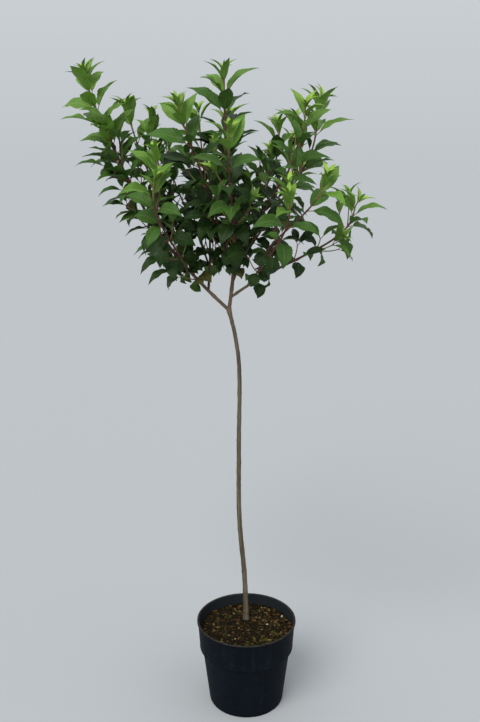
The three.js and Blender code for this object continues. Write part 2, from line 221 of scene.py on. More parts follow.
# Leaves in pairs or whorls: spacing, size, and the angles in radians at which they leave the
# stem, arch over and fold along the rib, from the growing tip down to the old wood. Low in
# the crown they are in shade, and there they are shorter and broader and hang.
YOUNG_STRETCH = 75
TIP_GAP = 22
OLD_GAP = 48
LEAF_LENGTH = 106
YOUNG_SHRINK = 0.55
LEAF_WIDTH_SHARE = 0.4
STALK_SHARE = 0.15
STALK_WIDTH = 0.8
OUTLINE_EASE = 0.75
LEAF_FOLD = 0.5
LIGHTWARD = np.array([0.0, -0.5, 0.9])
OLD_SPREAD = 0.58
YOUNG_SPREAD = 0.36
OLD_DROOP = 0.76
YOUNG_DROOP = 0.3
SHADE_TOP = 1500
SHADE_DEPTH = 300
SHADE_STRETCH = 150
SHADE_EASE = 3
SHADE_SPREAD = 0.5
SHADE_DROOP = 1.5
SHADE_SHRINK = 0.35
SHADE_WIDTH_SHARE = 0.56
TURN_SCATTER = 0.25
SPREAD_SCATTER = 0.15
DROOP_SCATTER = 0.25
LENGTH_SCATTER = 0.12
WHORL_SCATTER = 0.3

# Side twigs between the leaves of the older whorls, below the height TWIG_TOP
TWIG_SHARE = 0.8
TWIG_LENGTHS = (45, 120)
TWIG_SPREAD = 0.8
TWIG_CURL = -0.55
TWIG_RADIUS = 1.6
TWIG_TIP_RADIUS = 1.1
TWIG_FREE_STRETCH = 90
TWIG_TOP = 1420
TWIG_BARE = 0.25
TWIG_FREE_CHORDS = 12

# How far a mass reaches from its stem, and where on a blade its room is tested
MASS_REACH = 150
SAMPLE_SHARES = (0.22, 0.35, 0.5, 0.65, 0.8)
SAMPLE_SIDES = (-1, -0.5, 0, 0.5, 1)


@dataclass
class Spacing:
    """What a leaf or twig keeps free of: other leaves, the middle between two stems, and
    limbs. The sizes and turns are tried in order until a leaf fits."""
    leaves: float
    middle: float
    limbs: float
    sizes: tuple
    turns: tuple


COARSE = Spacing(leaves=6, middle=5, limbs=6,
                 sizes=(1, 0.78, 0.6), turns=(0, 0.6, -0.6, 1.2, -1.2))
FINE = Spacing(leaves=1.5, middle=-25, limbs=1.5,
               sizes=(0.95, 0.72), turns=(0, 0.45, -0.45, 0.9, -0.9, 1.4, -1.4))

# Finer growth in the room that is left. A whorl may get a fine twig, by a share that is
# smaller in the shade, and a share of the bare wood stays bare. FLUSH gives the youngest
# leaves their size, their spread and their height over the tip.
FINE_TWIG_LENGTHS = (28, 85)
FINE_TWIG_FREE_STRETCH = 140
FINE_TWIG_LEAF = 0.72
RIPE = 0.7
FINE_TWIG_TRIES = 3
FINE_TWIG_SHARES = (0.9, 0.8)
FINE_TWIG_SHADE = 0.5
SHADE_LIFE_SIZE = 0.78
STAYS_BARE = 0.6
LOW_GAP = 26
LOW_SIZE = 0.8
FLUSH = ((0.46, 0.34, 2), (0.3, 0.2, 5))


# Shared maths

def mix(start, end, share):
    return start + (end - start) * share


def smooth(low, high, value):
    share = np.clip((value - low) / (high - low), 0, 1)
    return share * share * (3 - 2 * share)


def unit(vectors):
    return vectors / np.linalg.norm(vectors, axis=-1, keepdims=True)


def gaps(points, others):
    return np.linalg.norm(points[:, None] - others[None], axis=-1)


NOISE_STEPS = (7.3, 3.1, 5.7)


def rough(points, size, seed):
    """Smooth noise from -1 to 1 with swells of about the given size, at each point."""
    shift = Vector([seed * step for step in NOISE_STEPS])
    return np.array([noise.noise(Vector(point) / size + shift) for point in points])


class Chance:
    """A repeatable row of numbers between 0 and 1, by a linear congruential rule."""
    factor = 1664525
    step = 1013904223
    limit = 2 ** 32

    def __init__(self, seed):
        self.state = seed

    def __call__(self):
        self.state = (self.state * self.factor + self.step) % self.limit
        return self.state / self.limit

    def scatter(self, width):
        return mix(-width, width, self())

    def between(self, low, high):
        return mix(low, high, self())


# Lines of growth

class Line:
    """A line of growth. Its point and crosswise directions are worked out at shares of its run."""

    def __init__(self, point, heading):
        self.point = point
        self.flat = np.array([-math.sin(heading), math.cos(heading), 0.0])
        self.chain = point(np.linspace(0, 1, CHORDS + 1))
        self.length = np.linalg.norm(np.diff(self.chain, axis=0), axis=1).sum()

    def frame(self, share):
        before = self.point(np.maximum(0, share - SLOPE_STEP))
        after = self.point(np.minimum(1, share + SLOPE_STEP))
        along = unit(after - before)
        lift = unit(np.cross(along, self.flat))
        return along, lift, np.cross(lift, along)

    def part(self, start, end):
        return self.chain[round(start * CHORDS):round(end * CHORDS) + 1]


def curve_through(bends, steps):
    """Points of the smooth centripetal curve that passes through the bends."""
    ends = np.vstack([2 * bends[0] - bends[1], bends, 2 * bends[-1] - bends[-2]])
    t = np.linspace(0, 1, steps, endpoint=False)[:, None]
    spans = []
    for before, start, end, after in zip(ends, ends[1:], ends[2:], ends[3:]):
        first, middle, last = (
            math.sqrt(np.linalg.norm(b - a))
            for a, b in ((before, start), (start, end), (end, after))
        )
        way = end - start
        leave = way + middle * ((start - before) / first - (end - before) / (first + middle))
        arrive = way + middle * ((after - end) / last - (after - start) / (middle + last))
        spans.append(start + leave * t + (3 * way - 2 * leave - arrive) * t ** 2
                     + (leave + arrive - 2 * way) * t ** 3)
    return np.vstack([*spans, bends[-1:]])


def trunk_line():
    points = curve_through(TRUNK_BENDS, TRUNK_CURVE_STEPS)
    run = np.append(0, np.cumsum(np.linalg.norm(np.diff(points, axis=0), axis=1)))

    def point(share):
        at = share * run[-1]
        return np.stack([np.interp(at, run, points[:, i]) for i in range(3)], axis=-1)

    return Line(point, 0)


def shoot_line(shoot, base):
    def point(share):
        out = 1 - np.maximum(0, 1 - share) ** shoot.bow
        bends = shoot.sway * np.sin(math.pi * share) + shoot.curl * np.sin(2 * math.pi * share)
        return np.stack([
            mix(base[0], shoot.right, out) + bends,
            mix(base[1], shoot.back, out),
            mix(base[2], shoot.top, share),
        ], axis=-1)

    return Line(point, math.atan2(shoot.back - base[1], shoot.right - base[0]))


def arc_line(root, along, above, length, turn):
    def point(share):
        angle = turn * np.asarray(share, float)[..., None]
        return (root + along * length * np.sin(angle) / turn
                - above * length * (1 - np.cos(angle)) / turn)

    return Line(point, math.atan2(along[1], along[0]))


# Leaves as the rule places them

@dataclass
class Leaf:
    """A leaf's place on its stem, its arch and its size."""
    root: np.ndarray
    along: np.ndarray
    above: np.ndarray
    across: np.ndarray
    droop: float
    length: float
    age: float
    shade: float
    spray: int = 0

    @property
    def width(self):
        return self.length * mix(LEAF_WIDTH_SHARE, SHADE_WIDTH_SHARE, self.shade) / 2

    def points(self, share, sideways, height):
        """Points at shares of the arched rib, moved sideways and up off the blade."""
        angle = (self.droop * share)[:, None]
        middle = (self.root + self.along * self.length * np.sin(angle) / self.droop
                  - self.above * self.length * (1 - np.cos(angle)) / self.droop)
        above = self.along * np.sin(angle) + self.above * np.cos(angle)
        return middle + self.across * sideways[:, None] + above * height[:, None]

    @functools.cached_property
    def samples(self):
        share, side = SAMPLES.T
        blade = np.maximum(0, (share - STALK_SHARE) / (1 - STALK_SHARE))
        half = STALK_WIDTH + self.width * np.sin(math.pi * blade ** OUTLINE_EASE)
        return self.points(share, side * half * math.cos(LEAF_FOLD),
                           np.abs(side) * half * math.sin(LEAF_FOLD))


SAMPLES = np.array([(1, 0)] + [(share, side) for share in SAMPLE_SHARES for side in SAMPLE_SIDES])


def leaf_on(stem, root, turn, spread, droop, length, age, shade):
    along_stem, lift, side = stem
    out = side * math.cos(turn) + lift * math.sin(turn)
    along = along_stem * math.cos(spread) + out * math.sin(spread)
    above = along_stem * math.sin(spread) - out * math.cos(spread) + LIGHTWARD
    above = unit(above - along * (above @ along))
    return Leaf(root, along, above, np.cross(along, above), droop, length, age, shade)


@dataclass
class Whorl:
    """One level of leaves on a stem. All its leaves are one spray."""
    line: Line
    down: float
    turn: float
    count: int
    size: float
    spray: int
    ripe: float = 0
    leaves: list = field(default_factory=list)

    @property
    def share(self):
        return 1 - self.down / self.line.length

    @property
    def age(self):
        return min(1, self.ripe + self.down / YOUNG_STRETCH)

    @functools.cached_property
    def shade(self):
        """0 in the light and 1 at the foot of the crown, and less near a tip."""
        depth = (SHADE_TOP - self.line.point(self.share)[2]) / SHADE_DEPTH
        return min(1, max(0, depth)) ** SHADE_EASE * min(1, self.down / SHADE_STRETCH)


class Crowd:
    """Points that leaves and twigs have taken."""

    def __init__(self):
        self.points = np.zeros((0, 3))

    def add(self, points):
        self.points = np.vstack([self.points, points])

    def clear(self, points, margin):
        low, high = points.min(0) - margin, points.max(0) + margin
        near = self.points[((self.points > low) & (self.points < high)).all(1)]
        return not len(near) or gaps(points, near).min() > margin


class Mass:
    """A mass of leaves on one stem, which keeps to its own space."""

    def __init__(self, shoot, line, seed):
        self.shoot = shoot
        self.line = line
        self.chain = line.part(shoot.bare, 1)
        self.random = Chance(seed)
        self.crowd = Crowd()
        self.spacing = COARSE
        self.leaves = []
        self.twigs = []
        self.whorls = []
        self.sprays = itertools.count()

    def give_room(self, masses, limbs):
        self.others = np.vstack([mass.chain for mass in masses if mass is not self])
        self.limb_points = np.vstack([chain for chain, radius in limbs])
        self.limb_radii = np.concatenate([[radius] * len(chain) for chain, radius in limbs])

    def fits(self, points):
        own = gaps(points, self.chain).min(1)
        keep = self.spacing
        return (own.max() < MASS_REACH
                and (gaps(points, self.others).min(1) - own).min() > keep.middle
                and (gaps(points, self.limb_points) - self.limb_radii).min() > keep.limbs
                and self.crowd.clear(points, keep.leaves))

    def add_leaf(self, leaf, spray):
        leaf.spray = spray
        self.leaves.append(leaf)
        self.crowd.add(leaf.samples)

    def fit_leaf(self, whorl, turn):
        """A leaf of the whorl, if one of the sizes and turns has room."""
        young, shade, scatter = 1 - whorl.age, whorl.shade, self.random.scatter
        stem, root = whorl.line.frame(whorl.share), whorl.line.point(whorl.share)
        turn += scatter(TURN_SCATTER)
        spread = mix(OLD_SPREAD, YOUNG_SPREAD, young) + SHADE_SPREAD * shade
        spread *= 1 + scatter(SPREAD_SCATTER)
        droop = mix(OLD_DROOP, YOUNG_DROOP, young) + SHADE_DROOP * shade
        droop *= 1 + scatter(DROOP_SCATTER)
        length = LEAF_LENGTH * (1 - YOUNG_SHRINK * young ** 2) * (1 - SHADE_SHRINK * shade)
        length *= (1 + scatter(LENGTH_SCATTER)) * whorl.size
        for size, more in itertools.product(self.spacing.sizes, self.spacing.turns):
            leaf = leaf_on(stem, root, turn + more, spread, droop, length * size,
                           whorl.age, shade)
            if self.fits(leaf.samples):
                whorl.leaves.append(leaf)
                self.add_leaf(leaf, whorl.spray)
                return

    def grow_whorls(self, line, start, turn, count, grow_twig=None, size=1, ripe=0):
        """Pairs or whorls of leaves down a line from its tip, each between those before it."""
        down = 0
        while down < line.length * (1 - start) - TIP_GAP * size:
            whorl = Whorl(line, down, turn, count, size, next(self.sprays), ripe)
            self.whorls.append(whorl)
            for i in range(count):
                self.fit_leaf(whorl, turn + 2 * math.pi * i / count)
            if grow_twig:
                grow_twig(whorl)
            turn += math.pi / count + self.random.scatter(WHORL_SCATTER)
            down += mix(TIP_GAP, OLD_GAP, whorl.age) * size

    def fit_twig(self, whorl, turn, length):
        along_stem, lift, side = whorl.line.frame(whorl.share)
        out = side * math.cos(turn) + lift * math.sin(turn)
        along = along_stem * math.cos(TWIG_SPREAD) + out * math.sin(TWIG_SPREAD)
        above = unit(UP - along * along[2])
        twig = arc_line(whorl.line.point(whorl.share), along, above, length, TWIG_CURL)
        return twig if self.fits(twig.chain[TWIG_FREE_CHORDS:]) else None

    def add_twig(self, twig):
        self.twigs.append(twig)
        self.crowd.add(twig.chain[TWIG_FREE_CHORDS:])

    def grow_side_twig(self, whorl):
        wish = self.random()
        length = self.random.between(*TWIG_LENGTHS)
        root = whorl.line.point(whorl.share)
        if whorl.down < TWIG_FREE_STRETCH or root[2] > TWIG_TOP or wish > TWIG_SHARE:
            return
        turn = whorl.turn + math.pi / whorl.count
        twig = self.fit_twig(whorl, turn, length)
        if twig:
            self.grow_whorls(twig, TWIG_BARE, turn, 2)
            self.add_twig(twig)

    def grow(self):
        """The growth of the plant's solids."""
        self.grow_whorls(self.line, self.shoot.bare, self.shoot.turn, self.shoot.whorl,
                         self.grow_side_twig)

    def shrink_shaded(self):
        """The leaves at life size. In the shade the solids' leaves are larger."""
        self.crowd = Crowd()
        for leaf in self.leaves:
            leaf.length *= mix(1, SHADE_LIFE_SIZE, leaf.shade)
            del leaf.samples
            self.crowd.add(leaf.samples)
        for twig in self.twigs:
            self.crowd.add(twig.chain[TWIG_FREE_CHORDS:])

    def grow_finer(self, crowd):
        """The youngest leaves, then more leaves and finer twigs in the room that is left."""
        self.crowd = crowd
        self.spacing = FINE
        for line in [self.line, *self.twigs]:
            self.flush_tip(line)
        self.clothe_bough()
        for whorl in list(self.whorls) * FINE_TWIG_TRIES:
            self.grow_fine_twig(whorl)
        for whorl in self.whorls:
            wanted = whorl.count
            if whorl.down > FINE_TWIG_FREE_STRETCH:
                wanted += math.floor(self.random() + self.shoot.fill)
            for i in range(len(whorl.leaves), wanted):
                self.fit_leaf(whorl, whorl.turn + (2 * i + 1) * math.pi / whorl.count)

    def clothe_bough(self):
        """Whorls with no leaf yet, further down the bough."""
        down = self.line.length * (1 - self.shoot.bare)
        while down < self.line.length * (1 - self.shoot.bare * STAYS_BARE):
            turn = self.random.scatter(math.pi)
            self.whorls.append(Whorl(self.line, down, turn, 2, LOW_SIZE, next(self.sprays)))
            down += LOW_GAP

    def grow_fine_twig(self, whorl):
        wish = self.random()
        length = self.random.between(*FINE_TWIG_LENGTHS)
        turn = whorl.turn + self.random.scatter(math.pi)
        wanted = mix(*FINE_TWIG_SHARES, smooth(0, FINE_TWIG_SHADE, whorl.shade))
        if whorl.down < FINE_TWIG_FREE_STRETCH or wish > wanted * self.shoot.fill:
            return
        twig = self.fit_twig(whorl, turn, length)
        if twig:
            self.add_twig(twig)
            self.grow_whorls(twig, TWIG_BARE, turn, 2, size=FINE_TWIG_LEAF, ripe=RIPE)

    def flush_tip(self, line):
        """Small upright leaves packed round the growing tip."""
        stem = line.frame(1.0)
        spray = next(self.sprays)
        turn = self.random() * math.pi
        for size, spread, rise in FLUSH:
            for i in range(2):
                root = line.point(1.0) + stem[0] * rise
                leaf = leaf_on(stem, root, turn + i * math.pi, spread, YOUNG_DROOP,
                               LEAF_LENGTH * size, 0, 0)
                self.add_leaf(leaf, spray)
            turn += math.pi / 2


def grow_plant():
    """The trunk's line, and every mass with its leaves and twigs."""
    lines = {"trunk": trunk_line()}
    limbs = [(lines["trunk"].chain, TRUNK_FOOT_RADIUS)]
    masses = []
    for index, shoot in enumerate(SHOOTS):
        line = shoot_line(shoot, lines[shoot.parent].point(shoot.at))
        lines[shoot.name] = line
        limbs.append((line.part(0, shoot.bare), shoot.girth))
        masses.append(Mass(shoot, line, index + 1))
    whole = Crowd()
    for mass in masses:
        mass.give_room(masses, limbs)
        mass.grow()
        mass.shrink_shaded()
        whole.add(mass.crowd.points)
    for mass in masses:
        mass.grow_finer(whole)
    return lines["trunk"], masses


# Finishes

def maths(operation, swapped=False):
    """A method of Wire that adds one Math node."""
    def method(wire, *others):
        values = [wire, *others][::-1 if swapped else 1]
        return wire.nodes.node("Math", {"operation": operation}, dict(enumerate(values)))

    return method


class Wire:
    """An output socket that takes part in sums."""
    __add__ = __radd__ = maths("ADD")
    __sub__ = maths("SUBTRACT")
    __rsub__ = maths("SUBTRACT", swapped=True)
    __mul__ = __rmul__ = maths("MULTIPLY")
    __pow__ = maths("POWER")
    __abs__ = maths("ABSOLUTE")
    fraction = maths("FRACT")
    most = maths("MAXIMUM")

    def __init__(self, nodes, socket):
        self.nodes = nodes
        self.socket = socket

    def between(self, low, high):
        """0 up to low and 1 from high on, with an even change between them."""
        return self.nodes.node("MapRange", {"clamp": True},
                               {"Value": self, "From Min": low, "From Max": high})


class Nodes:
    """The nodes of a material or of the world."""

    def __init__(self, owner):
        owner.use_nodes = True
        self.tree = owner.node_tree
        self.tree.nodes.clear()

    def node(self, kind, settings=None, inputs=None, output=0):
        """One node with its settings, and with the values or links of its sockets."""
        made = self.tree.nodes.new("ShaderNode" + kind)
        for name, value in (settings or {}).items():
            setattr(made, name, value)
        for name, value in (inputs or {}).items():
            if isinstance(value, Wire):
                self.tree.links.new(value.socket, made.inputs[name])
            else:
                made.inputs[name].default_value = value
        return Wire(self, made.outputs[output]) if made.outputs else None


class Finish(Nodes):
    """A material built from nodes."""

    def __init__(self, name):
        self.material = bpy.data.materials.new(name)
        super().__init__(self.material)

    @functools.cached_property
    def place(self):
        return self.node("TexCoord", output="Object")

    @functools.cached_property
    def height(self):
        return self.node("SeparateXYZ", {}, {0: self.place}, "Z")

    def scaled(self, x, y, z):
        return self.node("VectorMath", {"operation": "MULTIPLY"}, {0: self.place, 1: (x, y, z)})

    def noise(self, scale, detail, stretch=(1, 1, 1)):
        """Noise from 0 to 1 with about "scale" swells in a metre."""
        vector = self.scaled(*(scale * part for part in stretch))
        return self.node("TexNoise", {}, {"Vector": vector, "Scale": 1, "Detail": detail})

    def cells(self, scale):
        """The distance to the middle of the nearest of many small cells."""
        return self.node("TexVoronoi", {}, {"Vector": self.place, "Scale": scale}, "Distance")

    def blend(self, share, first, second):
        """A colour between two colours."""
        return self.node("Mix", {"data_type": "RGBA"}, {0: share, 6: first, 7: second}, 2)

    def shade(self, colour, share):
        """A colour multiplied by a grey number."""
        grey = self.node("CombineColor", {}, {"Red": share, "Green": share, "Blue": share})
        return self.node("Mix", {"data_type": "RGBA", "blend_type": "MULTIPLY"},
                         {0: 1, 6: colour, 7: grey}, 2)

    def bump(self, height, depth, strength):
        """A normal for relief of the given depth in millimetres."""
        return self.node("Bump", {}, {
            "Height": height,
            "Distance": depth * MM,
            "Strength": strength,
        })

    def done(self, **sockets):
        named = {name.replace("_", " "): value for name, value in sockets.items()}
        shader = self.node("BsdfPrincipled", {}, named)
        self.node("OutputMaterial", {}, {"Surface": shader})
        return self.material


def rgb(red, green, blue):
    """A colour from the 0 to 255 steps that a screen shows."""
    parts = [value / 255 for value in (red, green, blue)]
    linear = [part / 12.92 if part <= 0.04045 else ((part + 0.055) / 1.055) ** 2.4
              for part in parts]
    return (*linear, 1)


VEINS = 7
VEIN_SWEEP = 2.4
VEIN_EDGE = (0.8, 1.0)
RIB_EDGE = (0.88, 0.97)


def leaf_finish(name, colour, vein, roughness, vein_strength):
    """A blade with a pale rib, side veins that run forwards, and swells between them."""
    finish = Finish(name)
    uv = finish.node("UVMap", {"uv_map": "blade"}, {}, "UV")
    run = finish.node("SeparateXYZ", {}, {0: uv}, "X")
    side = finish.node("SeparateXYZ", {}, {0: uv}, "Y")
    away = abs(side * 2 - 1)
    phase = (run * VEINS - away * VEIN_SWEEP).fraction()
    valley = abs(phase * 2 - 1)
    side_vein = valley.between(*VEIN_EDGE)
    rib = (1 - away).between(*RIB_EDGE)
    tone = finish.node("Attribute", {"attribute_name": "tone"}, {}, "Fac")
    patches = finish.noise(70, 3)
    light = tone * 0.34 + patches * 0.3 + 0.68
    base = finish.shade(colour, light)
    marks = rib.most(side_vein * 0.55) * vein_strength
    swell = 1 - valley ** 3 * 0.8 - rib * 0.6
    return finish.done(
        Base_Color=finish.blend(marks, base, vein),
        Roughness=patches * 0.2 + (roughness - 0.1),
        Specular_IOR_Level=0.2,
        Normal=finish.bump(swell + finish.noise(900, 1) * 0.12, 0.7, 0.9),
    )


BOUGH_BROWN = rgb(90, 71, 55)
BOUGH_GREY = rgb(108, 95, 74)


def stem_finish(name, colour, second, pores, roughness):
    """Young bark: two tones, fine lengthwise lines and paler pores."""
    finish = Finish(name)
    streaks = finish.noise(420, 3, (1, 1, 0.14))
    patches = finish.noise(45, 2)
    dots = 1 - finish.cells(520).between(0.12, 0.3)
    spots = dots * finish.noise(90, 1).between(0.5, 0.7)
    body = finish.blend(patches.between(0.35, 0.65), colour, second)
    body = finish.shade(body, streaks * 0.6 + 0.7)
    return finish.done(
        Base_Color=finish.blend(spots * 0.7, body, pores),
        Roughness=streaks * 0.25 + (roughness - 0.12),
        Specular_IOR_Level=0.35,
        Normal=finish.bump(streaks * 0.7 + spots * 0.6, 0.35, 0.8),
    )


FORK_HEIGHT = TRUNK_BENDS[-1, 2]
YOUNG_BARK_FROM = FORK_HEIGHT - 60


def trunk_finish():
    """Older bark: greenish grey with brown streaks, shallow ridges and cracks."""
    finish = Finish("trunk_bark")
    ridges = finish.noise(330, 4, (1, 1, 0.1))
    streaks = finish.noise(150, 3, (1, 1, 0.06))
    patches = finish.noise(28, 3)
    dots = 1 - finish.cells(380).between(0.1, 0.28)
    pores = dots * finish.noise(60, 1).between(0.5, 0.65)
    brown = finish.blend(streaks.between(0.4, 0.62), rgb(74, 64, 51), rgb(105, 95, 77))
    body = finish.blend(patches.between(0.45, 0.68) * 0.7, brown, rgb(79, 80, 60))
    young = finish.blend(patches.between(0.35, 0.65), BOUGH_BROWN, BOUGH_GREY)
    at_fork = finish.height.between(YOUNG_BARK_FROM * MM, FORK_HEIGHT * MM)
    body = finish.blend(at_fork, body, young)
    body = finish.shade(body, ridges * 0.8 + 0.6)
    return finish.done(
        Base_Color=finish.blend(pores * 0.8, body, rgb(150, 139, 118)),
        Roughness=ridges * 0.2 + 0.68,
        Specular_IOR_Level=0.25,
        Normal=finish.bump(ridges + pores * 0.5, 0.6, 0.9),
    )


def inner_wall(finish):
    """1 where a face looks towards the pot's axis, and 0 where it looks outwards."""
    outwards = finish.node("VectorMath", {"operation": "DOT_PRODUCT"}, {
        0: finish.node("NewGeometry", output="Normal"),
        1: finish.scaled(1, 1, 0),
    }, "Value")
    return outwards.between(-0.01, -0.05)


def pot_finish():
    """Moulded blue-black plastic, scuffed and dusty, with a worn lip and painted light on the
    inner wall.
    """
    finish = Finish("pot_plastic")
    grain = finish.noise(2200, 2)
    dust = finish.noise(22, 4, (1, 1, 0.5))
    runs = finish.noise(55, 3, (1, 1, 0.05))
    scuffs = finish.noise(160, 3, (0.3, 0.3, 2)).between(0.62, 0.72)
    lip = finish.height.between(*((POT_HEIGHT - depth) * MM for depth in LIP_WEAR))
    worn = lip * finish.noise(130, 3).between(0.3, 0.62)
    body = finish.blend(dust.between(0.42, 0.75) * 0.3, rgb(9, 15, 22), rgb(24, 31, 38))
    body = finish.blend(runs.between(0.55, 0.8) * 0.2, body, rgb(42, 44, 46))
    body = finish.blend(scuffs * 0.12, body, rgb(80, 84, 84))
    # Painted light: the shaded inner wall is painted a lighter grey, mottled by the dust noise.
    body = finish.blend(inner_wall(finish) * (dust * 0.6 + 0.4), body, rgb(36, 40, 41))
    return finish.done(
        Base_Color=finish.blend(worn * 0.5, body, rgb(76, 71, 58)),
        Roughness=dust * 0.25 + (worn * 0.2 + 0.5),
        Specular_IOR_Level=0.05,
        Normal=finish.bump(grain * 0.5 + scuffs * 0.4, 0.12, 0.6),
    )


def soil_finish():
    """Dark composted bark with fibres and a green film."""
    finish = Finish("growing_medium")
    crumbs = finish.cells(260)
    fibres = finish.noise(420, 4, (1, 0.4, 1))
    film = finish.noise(24, 3).between(0.52, 0.66)
    body = finish.blend(fibres.between(0.35, 0.7), rgb(11, 9, 1), rgb(32, 26, 6))
    body = finish.blend(film * 0.7, body, rgb(28, 32, 8))
    return finish.done(
        Base_Color=finish.shade(body, crumbs * 0.8 + 0.55),
        Roughness=0.93,
        Specular_IOR_Level=0.1,
        Normal=finish.bump(crumbs + fibres * 0.6, 2.2, 1),
    )


def chip_finish(name, colour, second):
    """A flake of bark or wood with a fibrous face."""
    finish = Finish(name)
    grain = finish.noise(500, 3, (1, 0.25, 1))
    return finish.done(
        Base_Color=finish.blend(grain.between(0.3, 0.7), colour, second),
        Roughness=0.88,
        Specular_IOR_Level=0.12,
        Normal=finish.bump(grain, 0.5, 0.8),
    )


def moss_finish():
    finish = Finish("moss_green")
    tufts = finish.noise(700, 2)
    patches = finish.noise(60, 2)
    body = finish.blend(tufts.between(0.35, 0.65), rgb(30, 34, 6), rgb(74, 82, 20))
    return finish.done(
        Base_Color=finish.blend(patches.between(0.4, 0.7) * 0.6, body, rgb(78, 74, 20)),
        Roughness=0.95,
        Specular_IOR_Level=0.15,
        Normal=finish.bump(tufts, 0.8, 1),
    )


def floor_finish():
    finish = Finish("studio_floor")
    return finish.done(Base_Color=floor_colour(), Roughness=1, Specular_IOR_Level=0)


# Templates that are repeated, as points and triangles

@dataclass
class Shape:
    points: np.ndarray
    faces: np.ndarray
    marks: np.ndarray


def shape_of(mesh):
    """Points, triangles and each triangle's mark, and the bmesh is freed."""
    bmesh.ops.triangulate(mesh, faces=mesh.faces)
    mesh.verts.index_update()
    shape = Shape(
        np.array([vertex.co for vertex in mesh.verts]),
        np.array([[vertex.index for vertex in face.verts] for face in mesh.faces]),
        np.array([face.material_index for face in mesh.faces]),
    )
    mesh.free()
    return shape


BLADE_STATIONS = 12
BLADE_COLUMNS = 4
TOOTH_LEAN = 0.2
AT_EDGE = 0.99


def of_kind(parts, kind):
    return [part for part in parts if isinstance(part, kind)]


@functools.cache
def blade_shape():
    """A flat leaf: X runs from 0 at the stalk to 1 at the tip, Y from edge to edge, and Z is 1
    on the upper face, -1 on the lower one and 0 round the edge. The edge has a vertex more
    between stations, for its teeth."""
    mesh = bmesh.new()
    bmesh.ops.create_grid(mesh, x_segments=BLADE_STATIONS, y_segments=BLADE_COLUMNS, size=1)
    sides = [edge for edge in mesh.edges
             if abs(edge.verts[0].co.y + edge.verts[1].co.y) > 2 * AT_EDGE]
    teeth = bmesh.ops.subdivide_edges(mesh, edges=sides, cuts=1)["geom_inner"]
    bmesh.ops.translate(mesh, vec=(2 * TOOTH_LEAN / BLADE_STATIONS, 0, 0),
                        verts=of_kind(teeth, bmesh.types.BMVert))
    bmesh.ops.scale(mesh, vec=(0.5, 1, 1), verts=mesh.verts)
    bmesh.ops.translate(mesh, vec=(0.5, 0, 0), verts=mesh.verts)
    upper = list(mesh.faces)
    copy = bmesh.ops.duplicate(mesh, geom=mesh.verts[:] + mesh.edges[:] + mesh.faces[:])["geom"]
    lower = of_kind(copy, bmesh.types.BMFace)
    for faces, height in ((upper, 1), (lower, -1)):
        for face in faces:
            face.material_index = int(height < 0)
            for vertex in face.verts:
                x, y = vertex.co.xy
                edge = abs(y) > AT_EDGE or not 1 - AT_EDGE < x < AT_EDGE
                vertex.co.z = 0 if edge else height
    bmesh.ops.reverse_faces(mesh, faces=lower)
    bmesh.ops.remove_doubles(mesh, verts=mesh.verts, dist=0.0001)
    return shape_of(mesh)


@functools.cache
def tube_shape(sides, rings):
    """An upright tube of radius 1 with closed ends, from 0 to 1."""
    mesh = bmesh.new()
    bmesh.ops.create_cone(mesh, cap_ends=True, segments=sides, radius1=1, radius2=1, depth=1)
    upright = [edge for edge in mesh.edges if abs(edge.verts[0].co.z - edge.verts[1].co.z) > 0.5]
    bmesh.ops.subdivide_edges(mesh, edges=upright, cuts=rings - 1)
    bmesh.ops.translate(mesh, vec=(0, 0, 0.5), verts=mesh.verts)
    return shape_of(mesh)


FLAKE_BEVEL = 0.14
FLAKE_LEAST = (0.7, 0.6, 0.7)
FLAKE_MOST = 1.1


@functools.cache
def chip_shape(seed):
    """An angular flake, 1 long."""
    chance = Chance(seed)
    mesh = bmesh.new()
    bmesh.ops.create_cube(mesh, size=1)
    bmesh.ops.bevel(mesh, geom=mesh.edges, offset=FLAKE_BEVEL, segments=1, profile=0.5,
                    affect="EDGES", material=-1)
    for vertex in mesh.verts:
        for axis, least in enumerate(FLAKE_LEAST):
            vertex.co[axis] *= chance.between(least, FLAKE_MOST)
    return shape_of(mesh)


LUMP_SIZE = 0.6
LUMP_HEIGHT = 0.25


@functools.cache
def ball_shape(seed, fineness):
    """A lumpy ball of radius 1."""
    mesh = bmesh.new()
    bmesh.ops.create_icosphere(mesh, subdivisions=fineness, radius=1)
    lumps = rough([vertex.co for vertex in mesh.verts], LUMP_SIZE, seed)
    for vertex, lump in zip(mesh.verts, lumps):
        vertex.co *= 1 + LUMP_HEIGHT * lump
    return shape_of(mesh)


@functools.cache
def spike_shape():
    mesh = bmesh.new()
    bmesh.ops.create_cone(mesh, cap_ends=True, segments=4, radius1=1, radius2=0, depth=1)
    bmesh.ops.translate(mesh, vec=(0, 0, 0.5), verts=mesh.verts)
    return shape_of(mesh)


# From shapes to pieces

def placed(name, data):
    thing = bpy.data.objects.new(name, data)
    bpy.context.scene.collection.objects.link(thing)
    return thing


def finished(name, data, finishes, sharp):
    """A mesh as an object with its finishes. An edge shows past the sharp angle in degrees."""
    for finish in finishes:
        data.materials.append(finish)
    data.shade_smooth()
    data.set_sharp_from_angle(angle=math.radians(sharp))
    return placed(name, data)


def mesh_from(name, shape):
    """A bmesh as mesh data, and the bmesh is freed."""
    data = bpy.data.meshes.new(name)
    shape.to_mesh(data)
    shape.free()
    return data


def stand_for(piece, nodes):
    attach(piece, "root")
    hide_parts(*nodes)


